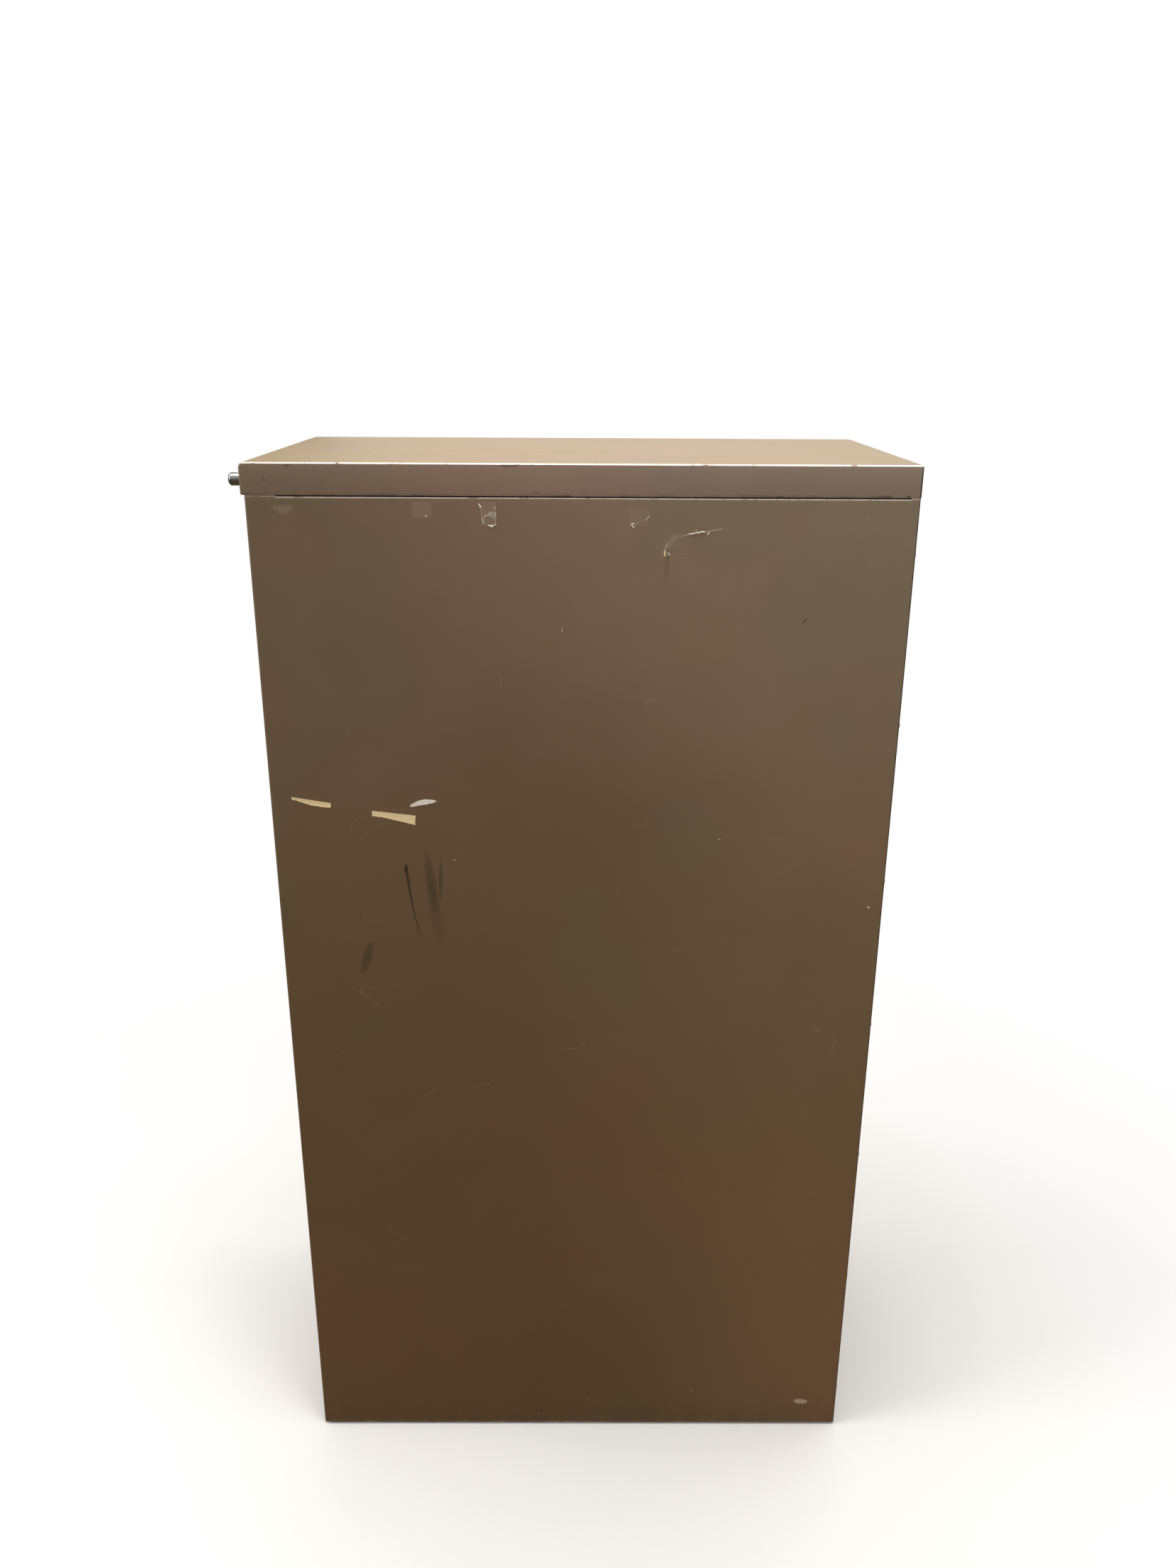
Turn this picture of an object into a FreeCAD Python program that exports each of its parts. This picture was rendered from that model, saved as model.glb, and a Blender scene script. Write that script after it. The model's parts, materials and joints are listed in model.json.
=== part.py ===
import FreeCAD, Part
import math
import os

# Steel microfiche cabinet: a tall narrow case on levelling glides, with eight drawers on
# three-member slides, two rows of fiche with a follower in each, and a plunger lock whose
# wedge lifts one bar that holds all the drawers.
# The front faces -Y, +X is the right-hand side as one faces the front, and +Z is up.

Vector = FreeCAD.Vector

# Driving sizes of the case
case_width = 381.0
case_depth = 724.0
case_height = 1322.0
cap_height = 34.0
base_height = 86.0
drawer_count = 8

# Sheet thicknesses
case_sheet = 1.2
drawer_sheet = 1.0
slide_sheet = 1.5

# Clearances, the overrun of every cut, and how far apart two places still count as one
running_gap = 0.4
seat_gap = 0.3
cut_overrun = 1.0
same_place = 0.03

# Side panels: front upright, flanges, edge radius and the shadow gap under the cap
upright_face = 14.0
upright_return = 20.0
panel_bend = 1.2
panel_ground_gap = 4.0
panel_lip = 7.0
seam_gap = 1.2
seam_front_inset = 33.0
seam_back_inset = 10.0

# Top cap
cap_overhang = 4.0
cap_front_radius = 6.0
cap_edge_radius = 2.2
cap_lower_radius = 1.9
cap_rail_depth = 26.0

# Back panel and its two stiffening channels
back_bead_width = 34.0
back_bead_depth = 6.0
back_bead_slant = 5.0
back_bead_place_share = 0.5

# Base: kick plate, floor of the case and glide flanges
kick_recess = 3.0
kick_ground_gap = 6.0
base_flange = 62.0
base_drawer_gap = 2.0

# Levelling glides
glide_inset_x = 40.0
glide_inset_y = 36.0
glide_pad_radius = 15.0
glide_pad_top_radius = 13.0
glide_pad_height = 4.0
glide_hex_width = 13.0
glide_stem_radius = 4.0
glide_stem_length = 24.0

# Slotted uprights that carry the slides
stanchion_depth = 14.0
stanchion_face = 38.0
stanchion_foot = 12.0
stanchion_front_inset = 66.0
stanchion_back_inset = 70.0
stanchion_slot_width = 5.0
stanchion_slot_height = 16.0

# Slides
slide_stack = 19.0
slide_height = 45.0
slide_flange = 12.0
slide_centre_rise = 40.0
slide_front_inset = 24.0
slide_length = 650.0
slide_step = 2.0

# Drawer fronts
front_thickness = 18.0
front_reveal = 1.5
front_edge_radius = 2.0
front_flange = 12.0

# Trays
tray_rise = 14.0
tray_side_height = 96.0
tray_back_cut = 24.0
tray_hem_height = 8.0
tray_rear_gap = 42.0
tray_plate_rise = 6.0
tray_plate_height = 134.0
tray_plate_margin = 8.0
divider_width = 6.0
divider_height = 82.0

# Followers
follower_height = 84.0
follower_lean = 17.0
follower_foot = 62.0
follower_sheet = 1.6
follower_side_gap = 1.6
follower_rear_gap = 10.0
follower_travel = 470.0
follower_neck_width = 5.0
follower_neck_inset = 8.0
follower_head_width = 13.0
follower_head_thickness = 1.5
follower_tab_width = 36.0
follower_tab_height = 9.0

# Pulls and label holders
pull_width = 96.0
pull_rise = 50.0
pull_hood_height = 28.0
pull_reach = 20.0
pull_hood_drop = 22.0
pull_sheet = 2.0
pull_bend = 9.0
label_height = 26.0
label_frame = 3.0
label_plate = 1.2
label_lip = 1.4

# Plunger lock
lock_inset_x = 30.0
lock_drop = 20.5
plunger_radius = 7.0
plunger_out = 18.0
plunger_body_length = 45.0
plunger_bevel = 2.0
plunger_travel = 12.0
keyway_width = 1.8
keyway_height = 8.0
keyway_depth = 3.0
plunger_rod_radius = 4.0
housing_radius = 9.5
housing_length = 34.0
bezel_radius = 11.5
bezel_front_radius = 10.5
bezel_thickness = 2.0
housing_nut_width = 21.0
housing_nut_thickness = 4.0
wedge_width = 12.0
wedge_height = 13.0
wedge_flat = 6.0
wedge_behind_housing = 4.0

# Lock bar with its hooks, lift arm and guides
bar_wall_gap = 9.8
bar_thickness = 2.0
bar_width = 16.0
bar_front_inset = 24.0
hook_rise = 67.0
hook_height = 17.0
hook_reach = 17.5
hook_sheet = 2.0
hook_foot = 10.0
catch_gap_z = 3.0
catch_gap_y = 0.8
catch_height = 15.0
catch_reach = 15.0
catch_foot = 14.0
arm_shelf_drop = 7.0
arm_shelf = 2.5
arm_leg = 2.0
arm_leg_gap = 1.5
arm_shoulder = 3.0
arm_head = 2.0
bar_tail = 16.0
bar_head_clearance = 4.0
guide_height = 14.0
guide_rise = 100.0
guide_lip = 1.4
guide_wall = 2.4

# Places worked out from the sizes above
half_width = case_width / 2
inner_x = half_width - case_sheet
opening_x = half_width - upright_face
seat_x = inner_x - stanchion_depth
tray_x = seat_x - slide_stack
front_x = opening_x - front_reveal

pull_ahead = pull_reach - cap_overhang
front_reach = max(plunger_out, pull_ahead)
cap_front_y = (front_reach - case_depth) / 2
back_y = cap_front_y + case_depth
face_y = cap_front_y + cap_overhang

panel_top_z = case_height - cap_height
pitch = (panel_top_z - base_height) / drawer_count
tray_front_y = face_y + front_thickness
tray_length = case_depth - cap_overhang - front_thickness - tray_rear_gap
tray_back_y = tray_front_y + tray_length
tray_inner_x = tray_x - drawer_sheet
row_width = tray_inner_x - divider_width / 2

lock_x = half_width - lock_inset_x
lock_z = case_height - lock_drop
bar_x = inner_x - bar_wall_gap
hook_y = face_y + bar_front_inset + bar_width - hook_sheet - catch_gap_y


# Helpers for flat outlines and solids

def block(x_low, x_high, y_low, y_high, z_low, z_high):
    """Solid box between two corners."""
    corner = Vector(x_low, y_low, z_low)
    return Part.makeBox(x_high - x_low, y_high - y_low, z_high - z_low, corner)


def corner_arc(before, corner, after, radius):
    """Start, middle and end of the arc that rounds one corner of an outline."""
    to_before = (before - corner).normalize()
    to_after = (after - corner).normalize()
    half_angle = to_before.getAngle(to_after) / 2
    run = radius / math.tan(half_angle)
    bisector = (to_before + to_after).normalize()
    centre = corner + bisector * (radius / math.sin(half_angle))
    start = corner + to_before * run
    end = corner + to_after * run
    middle = centre - bisector * radius
    return start, middle, end


def outline_face(points, radii):
    """Flat face through points, with each corner rounded by its own radius."""
    count = len(points)
    arcs = []
    for index, corner in enumerate(points):
        radius = radii[index]
        if radius > 0:
            arcs.append(corner_arc(points[index - 1], corner, points[(index + 1) % count], radius))
        else:
            arcs.append((corner, None, corner))
    edges = []
    for index in range(count):
        start, middle, end = arcs[index]
        if middle is not None:
            edges.append(Part.Arc(start, middle, end).toShape())
        edges.append(Part.LineSegment(end, arcs[(index + 1) % count][0]).toShape())
    return Part.Face(Part.Wire(edges))


def sheet_outline(path, thickness, bend):
    """Points and radii of a folded sheet whose thickness lies to the left of its path."""
    directions = []
    for start, end in zip(path, path[1:]):
        length = math.hypot(end[0] - start[0], end[1] - start[1])
        directions.append(((end[0] - start[0]) / length, (end[1] - start[1]) / length))
    left = []
    path_radii = []
    left_radii = []
    last = len(path) - 1
    for index, point in enumerate(path):
        into = directions[max(index - 1, 0)]
        out = directions[min(index, last - 1)]
        cross = into[0] * out[1] - into[1] * out[0]
        share = thickness / (1 + into[0] * out[0] + into[1] * out[1])
        left.append((point[0] - share * (into[1] + out[1]), point[1] + share * (into[0] + out[0])))
        inside, outside = bend, bend + thickness
        if index in (0, last):
            inside = outside = 0
        path_radii.append(outside if cross > 0 else inside)
        left_radii.append(inside if cross > 0 else outside)
    return path + left[::-1], path_radii + left_radii[::-1]


def folded(path, thickness):
    """Points and radii of a thin folded sheet whose bends are too tight to round."""
    points, _ = sheet_outline(path, thickness, 0)
    return points, sharp(points)


def sharp(points):
    """No rounding at any corner of an outline."""
    return [0] * len(points)


def along_x(points, radii, x_low, x_high):
    """Solid from a YZ outline, drawn out along X."""
    corners = [Vector(x_low, y, z) for y, z in points]
    return outline_face(corners, radii).extrude(Vector(x_high - x_low, 0, 0))


def along_y(points, radii, y_low, y_high):
    """Solid from an XZ outline, drawn out along Y."""
    corners = [Vector(x, y_low, z) for x, z in points]
    return outline_face(corners, radii).extrude(Vector(0, y_high - y_low, 0))


def along_z(points, radii, z_low, z_high):
    """Solid from an XY outline, drawn out along Z."""
    corners = [Vector(x, y, z_low) for x, y in points]
    return outline_face(corners, radii).extrude(Vector(0, 0, z_high - z_low))


def barrel(radius, x, z, y_low, y_high):
    """Solid cylinder that lies along Y."""
    return Part.makeCylinder(radius, y_high - y_low, Vector(x, y_low, z), Vector(0, 1, 0))


def hexagon(across_flats, x, y, z_low, z_high):
    """Hexagonal prism that stands along Z."""
    reach = across_flats / math.sqrt(3)
    corners = [(x + reach * math.cos(math.pi * step / 3), y + reach * math.sin(math.pi * step / 3))
               for step in range(6)]
    return along_z(corners, sharp(corners), z_low, z_high)


def mirrored(shape):
    """The same shape on the other side of the middle plane."""
    return shape.mirror(Vector(0, 0, 0), Vector(1, 0, 0))


def edges_at(shape, test):
    """Edges whose ends and middle all pass the test."""
    found = []
    for edge in shape.Edges:
        middle = edge.valueAt((edge.FirstParameter + edge.LastParameter) / 2)
        if all(test(vertex.Point) for vertex in edge.Vertexes) and test(middle):
            found.append(edge)
    return found


def close_to(value, target):
    """True where a coordinate lies on a plane."""
    return abs(value - target) < same_place


def cell_z(drawer):
    """Bottom of the space of one drawer; drawer 1 is at the top."""
    return base_height + (drawer_count - drawer) * pitch


# Case

def make_side_panel():
    """Right-hand side: upright at the front, flanges at the back, top and bottom."""
    path = [(opening_x, face_y + upright_return), (opening_x, face_y), (half_width, face_y),
            (half_width, back_y), (opening_x, back_y)]
    points, radii = sheet_outline(path, case_sheet, panel_bend)
    panel = along_z(points, radii, panel_ground_gap, panel_top_z)

    lip_front = face_y + seam_front_inset
    lip_back = back_y - seam_back_inset
    lip_top = panel_top_z - seam_gap
    panel = panel.cut(block(opening_x, half_width + cut_overrun, lip_front, lip_back,
                            lip_top - panel_lip, panel_top_z + cut_overrun))
    lip_path = [(half_width, lip_top - panel_lip), (half_width, lip_top), (opening_x, lip_top)]
    points, radii = sheet_outline(lip_path, case_sheet, panel_bend)
    panel = panel.fuse(along_y(points, radii, lip_front, lip_back))

    sill_front = face_y + upright_return
    sill_top = panel_ground_gap + panel_lip
    panel = panel.cut(block(opening_x, half_width + cut_overrun, sill_front, lip_back,
                            panel_ground_gap - cut_overrun, sill_top))
    sill_path = [(opening_x, panel_ground_gap), (half_width, panel_ground_gap),
                 (half_width, sill_top)]
    points, radii = folded(sill_path, case_sheet)
    return panel.fuse(along_y(points, radii, sill_front, lip_back)).removeSplitter()


def make_top_cap():
    """Folded top with a band all round; its front is the rail that carries the lock."""
    cap = block(-half_width, half_width, cap_front_y, back_y, panel_top_z, case_height)
    front_top = edges_at(cap, lambda p: close_to(p.y, cap_front_y) and close_to(p.z, case_height))
    cap = cap.makeFillet(cap_front_radius, front_top)
    others = edges_at(cap, lambda p: close_to(p.z, case_height) and p.y > cap_front_y)
    others = [edge for edge in others if edge.Length > case_width - 2 * cap_front_radius
              and not all(close_to(v.Point.y, cap_front_y + cap_front_radius) for v in edge.Vertexes)]
    cap = cap.makeFillet(cap_edge_radius, others)
    # Cut, not filleted: a fillet here would run on along the lower side edges
    centre_y = cap_front_y + cap_lower_radius
    centre_z = panel_top_z + cap_lower_radius
    corner = block(-half_width, half_width, cap_front_y - cut_overrun, centre_y,
                   panel_top_z - cut_overrun, centre_z)
    roll = Part.makeCylinder(cap_lower_radius, case_width + 2 * cut_overrun,
                             Vector(-half_width - cut_overrun, centre_y, centre_z), Vector(1, 0, 0))
    cap = cap.cut(corner.cut(roll))

    hollow = block(-inner_x, inner_x, cap_front_y + case_sheet, back_y - case_sheet,
                   panel_top_z + case_sheet, case_height - case_sheet)
    hollow_edge = edges_at(hollow, lambda p: close_to(p.y, cap_front_y + case_sheet)
                           and close_to(p.z, case_height - case_sheet))
    hollow = hollow.makeFillet(cap_front_radius - case_sheet, hollow_edge)
    mouth = block(-inner_x, inner_x, cap_front_y + cap_rail_depth, back_y - case_sheet,
                  panel_top_z - cut_overrun, panel_top_z + 2 * case_sheet)
    bore = barrel(housing_radius + seat_gap, lock_x, lock_z, cap_front_y - cut_overrun,
                  cap_front_y + case_sheet + cut_overrun)
    return cap.cut(hollow).cut(mouth).cut(bore)


def make_back_panel():
    """Sheet inside the rear flanges, with two channels pressed into it."""
    outer = back_y - case_sheet
    edge = inner_x - panel_bend - seat_gap
    middle = edge * back_bead_place_share
    wide = back_bead_width / 2
    narrow = wide - back_bead_slant
    path = [(-edge, outer)]
    for centre in (-middle, middle):
        path += [(centre - wide, outer), (centre - narrow, outer - back_bead_depth),
                 (centre + narrow, outer - back_bead_depth), (centre + wide, outer)]
    path.append((edge, outer))
    points, radii = sheet_outline(path[::-1], drawer_sheet, 0)
    low = panel_ground_gap + case_sheet
    high = panel_top_z - seam_gap - case_sheet
    return along_z(points, radii, low, high)


def make_base():
    """One folded piece: flanges with hexagonal glide holes, kick plate, floor and rear wall."""
    front = face_y + kick_recess
    rear = back_y - case_sheet - drawer_sheet - back_bead_depth - drawer_sheet
    top = base_height - base_drawer_gap
    path = [(rear - base_flange, kick_ground_gap), (rear, kick_ground_gap), (rear, top),
            (front, top), (front, kick_ground_gap), (front + base_flange, kick_ground_gap)]
    points, radii = sheet_outline(path, case_sheet, 0)
    base = along_x(points, radii, -opening_x, opening_x)
    base = base.fuse(block(-inner_x, inner_x, face_y + upright_return + seat_gap,
                           rear - case_sheet, top - case_sheet, top))
    for x, y in glide_places():
        base = base.cut(hexagon(2 * (glide_stem_radius + seat_gap), x, y,
                                kick_ground_gap - cut_overrun,
                                kick_ground_gap + case_sheet + cut_overrun))
    return base.removeSplitter()


def glide_places():
    """Centres of the four glides."""
    glide_x = half_width - glide_inset_x
    return [(x, y) for x in (-glide_x, glide_x)
            for y in (face_y + glide_inset_y, back_y - glide_inset_y)]


def make_glides():
    """Four screw-in glides: tapered pad, hexagon and stem."""
    glides = []
    for x, y in glide_places():
        pad = Part.makeCone(glide_pad_radius, glide_pad_top_radius, glide_pad_height,
                            Vector(x, y, 0))
        nut = hexagon(glide_hex_width, x, y, glide_pad_height, kick_ground_gap)
        stem = Part.makeCylinder(glide_stem_radius, glide_stem_length - glide_pad_height,
                                 Vector(x, y, glide_pad_height))
        glides.append(pad.fuse(nut).fuse(stem).removeSplitter())
    return Part.makeCompound(glides)


def make_stanchions():
    """Four hat-section uprights, slotted for the slides."""
    low = base_height - base_drawer_gap
    high = panel_top_z - seam_gap - case_sheet - panel_bend
    fronts = (face_y + stanchion_front_inset, back_y - stanchion_back_inset - stanchion_face)
    foot_x = inner_x - slide_sheet
    uprights = []
    for start in fronts:
        end = start + stanchion_face
        path = [(foot_x, end + stanchion_foot), (foot_x, end), (seat_x, end),
                (seat_x, start), (foot_x, start), (foot_x, start - stanchion_foot)]
        points, radii = folded(path, slide_sheet)
        upright = along_z(points, radii, low, high)
        middle = (start + end) / 2
        slots = []
        for drawer in range(1, drawer_count + 1):
            centre = cell_z(drawer) + slide_centre_rise + slide_height
            slots.append(block(seat_x - cut_overrun, seat_x + slide_sheet + cut_overrun,
                               middle - stanchion_slot_width / 2,
                               middle + stanchion_slot_width / 2,
                               centre - stanchion_slot_height / 2,
                               centre + stanchion_slot_height / 2))
        upright = upright.cut(slots)
        uprights += [upright, mirrored(upright)]
    return Part.makeCompound(uprights)


# Slides

def slide_half_heights():
    """Outer half heights of the case member, the middle member and the runner."""
    outer = slide_height / 2
    middle = outer - slide_sheet - running_gap
    inner = middle - slide_sheet - running_gap
    return outer, middle, inner


def make_case_slides():
    """Fixed members: lipped channels on the uprights, one pair to a drawer."""
    outer, _, inner = slide_half_heights()
    tip = seat_x - slide_flange
    low = face_y + slide_front_inset
    members = []
    for drawer in range(1, drawer_count + 1):
        centre = cell_z(drawer) + slide_centre_rise
        lip = inner + running_gap
        path = [(tip, centre - lip), (tip, centre - outer), (seat_x, centre - outer),
                (seat_x, centre + outer), (tip, centre + outer), (tip, centre + lip)]
        points, radii = folded(path, slide_sheet)
        member = along_y(points, radii, low, low + slide_length)
        members += [member, mirrored(member)]
    return Part.makeCompound(members)


def make_middle_slides(drawer):
    """Middle members of one drawer's pair of slides."""
    _, middle, _ = slide_half_heights()
    centre = cell_z(drawer) + slide_centre_rise
    web = seat_x - slide_sheet - running_gap
    tip = seat_x - slide_flange + slide_sheet + running_gap
    low = face_y + slide_front_inset - slide_step
    path = [(tip, centre - middle), (web, centre - middle), (web, centre + middle),
            (tip, centre + middle)]
    points, radii = folded(path, slide_sheet)
    member = along_y(points, radii, low, low + slide_length)
    return Part.makeCompound([member, mirrored(member)])


def make_runner(drawer):
    """Inner member of the right-hand slide, on the side of the tray."""
    _, _, inner = slide_half_heights()
    centre = cell_z(drawer) + slide_centre_rise
    tip = seat_x - 2 * (slide_sheet + running_gap)
    low = face_y + slide_front_inset - 2 * slide_step
    path = [(tip, centre + inner), (tray_x, centre + inner), (tray_x, centre - inner),
            (tip, centre - inner)]
    points, radii = folded(path, slide_sheet)
    return along_y(points, radii, low, low + slide_length)


# Drawers

def make_front(drawer):
    """Folded drawer front: rounded face, four returns and a flange round the back."""
    low = cell_z(drawer) + front_reveal
    high = cell_z(drawer) + pitch - front_reveal
    front = block(-front_x, front_x, face_y, tray_front_y, low, high)
    front = front.makeFillet(front_edge_radius, edges_at(front, lambda p: close_to(p.y, face_y)))
    back = tray_front_y - drawer_sheet
    hollow = block(-front_x + drawer_sheet, front_x - drawer_sheet, face_y + drawer_sheet, back,
                   low + drawer_sheet, high - drawer_sheet)
    window = block(-front_x + front_flange, front_x - front_flange, back - cut_overrun,
                   tray_front_y + cut_overrun, low + front_flange, high - front_flange)
    return front.cut(hollow).cut(window)


def follower_slot(side):
    """Span along X and Y of the slot that guides one follower."""
    centre = side * (divider_width / 2 + row_width / 2)
    start = follower_plate_y() - follower_travel
    end = follower_plate_y() + follower_foot
    half = follower_neck_width / 2 + running_gap
    return centre - half, centre + half, start, end


def follower_plate_y():
    """Front of a follower's foot when it stands at the back of its row."""
    return tray_back_y - drawer_sheet - follower_rear_gap - follower_foot


def make_tray(drawer):
    """Drawer body: open pan with a front plate, the divider, the runners and the catch."""
    floor = cell_z(drawer) + tray_rise
    top = floor + tray_side_height
    pan = block(-tray_x, tray_x, tray_front_y, tray_back_y, floor, top)
    hem_x = tray_inner_x - drawer_sheet
    hem_low = top - tray_hem_height
    inside_low = tray_front_y + drawer_sheet
    inside_high = tray_back_y - drawer_sheet
    pan = pan.cut(block(-tray_inner_x, tray_inner_x, inside_low, inside_high,
                        floor + drawer_sheet, hem_low))
    pan = pan.cut(block(-hem_x, hem_x, inside_low, inside_high,
                        hem_low - cut_overrun, top + cut_overrun))
    pan = pan.cut(block(-hem_x, hem_x, inside_high - cut_overrun, tray_back_y + cut_overrun,
                        top - tray_back_cut, top + cut_overrun))
    plate_x = front_x - tray_plate_margin
    plate_low = cell_z(drawer) + tray_plate_rise
    pan = pan.fuse(block(-plate_x, plate_x, tray_front_y, inside_low,
                         plate_low, plate_low + tray_plate_height))
    for side in (-1, 1):
        x_low, x_high, y_low, y_high = follower_slot(side)
        pan = pan.cut(block(x_low, x_high, y_low, y_high, floor - cut_overrun,
                            floor + drawer_sheet + cut_overrun))
    pan = pan.removeSplitter()

    half = divider_width / 2
    divider_low = floor + drawer_sheet
    divider_top = divider_low + divider_height
    path = [(half, divider_low), (half, divider_top), (-half, divider_top), (-half, divider_low)]
    points, radii = folded(path, drawer_sheet)
    divider = along_y(points, radii, inside_low, inside_high)

    runner = make_runner(drawer)
    return Part.makeCompound([pan, divider, runner, mirrored(runner), make_catch(drawer)])


def make_catch(drawer):
    """Angle on the right side of the tray that a hook of the lock bar stops."""
    low = cell_z(drawer) + hook_rise + hook_height + catch_gap_z
    front = hook_y + hook_sheet + catch_gap_y
    path = [(tray_x + catch_reach, front), (tray_x, front), (tray_x, front + catch_foot)]
    points, radii = folded(path[::-1], hook_sheet)
    return along_z(points, radii, low, low + catch_height)


def make_follower(drawer, side):
    """Leaning plate with a foot and a guide that runs in the slot of the tray."""
    floor = cell_z(drawer) + tray_rise + drawer_sheet + running_gap
    centre = side * (divider_width / 2 + row_width / 2)
    half = row_width / 2 - follower_side_gap
    start = follower_plate_y()
    path = [(start + follower_lean, floor + follower_height), (start, floor),
            (start + follower_foot, floor)]
    points, radii = sheet_outline(path, follower_sheet, 0)
    plate = along_x(points, radii, centre - half, centre + half)
    lean_y = follower_lean * follower_tab_height / follower_height
    tab_path = [(start + follower_lean + lean_y, floor + follower_height + follower_tab_height),
                (start + follower_lean, floor + follower_height)]
    points, radii = sheet_outline(tab_path, follower_sheet, 0)
    tab = along_x(points, radii, centre - follower_tab_width / 2, centre + follower_tab_width / 2)
    neck_low = floor - 2 * running_gap - drawer_sheet - follower_head_thickness
    front = start + follower_neck_inset
    back = start + follower_foot - follower_neck_inset
    neck = block(centre - follower_neck_width / 2, centre + follower_neck_width / 2, front, back,
                 neck_low, floor + follower_sheet)
    head = block(centre - follower_head_width / 2, centre + follower_head_width / 2, front, back,
                 neck_low, neck_low + follower_head_thickness)
    return plate.fuse(tab).fuse(neck).fuse(head).removeSplitter()


def make_pull(drawer):
    """Hooded pull with closed cheeks, and the label holder above it."""
    low = cell_z(drawer) + pull_rise
    top = low + pull_hood_height
    half = pull_width / 2
    tip = face_y - pull_reach
    hood_path = [(face_y, top), (tip, top), (tip, top - pull_hood_drop)]
    points, radii = sheet_outline(hood_path, pull_sheet, pull_bend)
    pull = along_x(points, radii, -half, half)
    cheek = [(face_y, low), (face_y, top), (tip, top), (tip, top - pull_hood_drop)]
    cheek_radii = [0, 0, pull_bend + pull_sheet, 0]
    for x_low in (-half, half - pull_sheet):
        pull = pull.fuse(along_x(cheek, cheek_radii, x_low, x_low + pull_sheet))

    label_top = top + label_height
    plate_y = face_y - label_plate
    pull = pull.fuse(block(-half, half, plate_y, face_y, top - pull_sheet, label_top))
    frame = block(-half, half, plate_y - label_lip, plate_y, top - pull_sheet, label_top)
    frame = frame.cut(block(-half + label_frame, half - label_frame,
                            plate_y - label_lip - cut_overrun, plate_y,
                            top + label_frame, label_top - label_frame))
    return pull.fuse(frame).removeSplitter()


# Lock

def make_lock_housing():
    """Barrel of the lock in the front rail, with its bezel and the nut behind."""
    bore = plunger_radius + seat_gap
    housing = barrel(housing_radius, lock_x, lock_z, cap_front_y, cap_front_y + housing_length)
    bezel = Part.makeCone(bezel_front_radius, bezel_radius, bezel_thickness,
                          Vector(lock_x, cap_front_y - bezel_thickness, lock_z), Vector(0, 1, 0))
    nut_y = cap_front_y + case_sheet
    nut = hexagon(housing_nut_width, 0, 0, 0, housing_nut_thickness)
    nut.rotate(Vector(0, 0, 0), Vector(1, 0, 0), -90)
    nut.translate(Vector(lock_x, nut_y, lock_z))
    housing = housing.fuse(bezel).fuse(nut)
    through = barrel(bore, lock_x, lock_z, cap_front_y - bezel_thickness - cut_overrun,
                     cap_front_y + housing_length + cut_overrun)
    return housing.cut(through)


def wedge_start_y():
    """Front of the wedge behind the plunger."""
    return cap_front_y + housing_length + wedge_behind_housing


def ramp():
    """Upper and lower ends of the wedge's slope, as Y and Z."""
    top_y = wedge_start_y() + wedge_flat
    return (top_y, lock_z), (top_y + wedge_height, lock_z - wedge_height)


def make_lock_plunger():
    """Plunger with a bevelled tip and a keyway, its rod, and the wedge on the rod's end."""
    tip_y = cap_front_y - plunger_out
    body_end = tip_y + plunger_body_length
    body = barrel(plunger_radius, lock_x, lock_z, tip_y, body_end)
    rim = edges_at(body, lambda p: close_to(p.y, tip_y))
    body = body.makeChamfer(plunger_bevel, rim)
    body = body.cut(block(lock_x - keyway_width / 2, lock_x + keyway_width / 2,
                          tip_y - cut_overrun, tip_y + keyway_depth,
                          lock_z - keyway_height / 2, lock_z + keyway_height / 2))
    rod = barrel(plunger_rod_radius, lock_x, lock_z, body_end, wedge_start_y())
    (top_y, top_z), (low_y, low_z) = ramp()
    outline = [(wedge_start_y(), low_z), (low_y, low_z), (top_y, top_z), (wedge_start_y(), top_z)]
    wedge = along_x(outline, sharp(outline), lock_x - wedge_width / 2, lock_x + wedge_width / 2)
    return body.fuse(rod).fuse(wedge).removeSplitter()


def make_lock_bar():
    """Vertical bar with a hook for each drawer and the arm that rides on the wedge."""
    front = face_y + bar_front_inset
    back = front + bar_width
    low = cell_z(drawer_count) + hook_rise - bar_tail
    high = panel_top_z - plunger_travel - bar_head_clearance
    strip = block(bar_x - bar_thickness, bar_x, front, back, low, high)
    inner = bar_x - bar_thickness
    pieces = [strip]
    for drawer in range(1, drawer_count + 1):
        hook_low = cell_z(drawer) + hook_rise
        path = [(inner, hook_y - hook_foot), (inner, hook_y + hook_sheet),
                (inner - hook_reach, hook_y + hook_sheet)]
        points, radii = folded(path, hook_sheet)
        pieces.append(along_z(points, radii, hook_low, hook_low + hook_height))

    (top_y, top_z), (low_y, low_z) = ramp()
    leg_x = lock_x + wedge_width / 2 + arm_leg_gap
    slack = running_gap * math.sqrt(2)
    shelf_top = high - arm_shelf_drop
    head_back = low_y + slack + arm_shoulder
    head = [(top_y + slack, top_z), (low_y + slack, low_z), (head_back, low_z),
            (head_back, top_z + arm_head), (top_y + slack, top_z + arm_head)]
    arm = along_x(head, sharp(head), lock_x - wedge_width / 2, leg_x + arm_leg)
    leg = block(leg_x, leg_x + arm_leg, top_y + slack, head_back, shelf_top - arm_shelf,
                top_z + arm_head)
    shelf = block(leg_x, inner, front, head_back, shelf_top - arm_shelf, shelf_top)
    pieces.append(arm.fuse(leg).fuse(shelf).removeSplitter())
    return Part.makeCompound(pieces)


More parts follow.
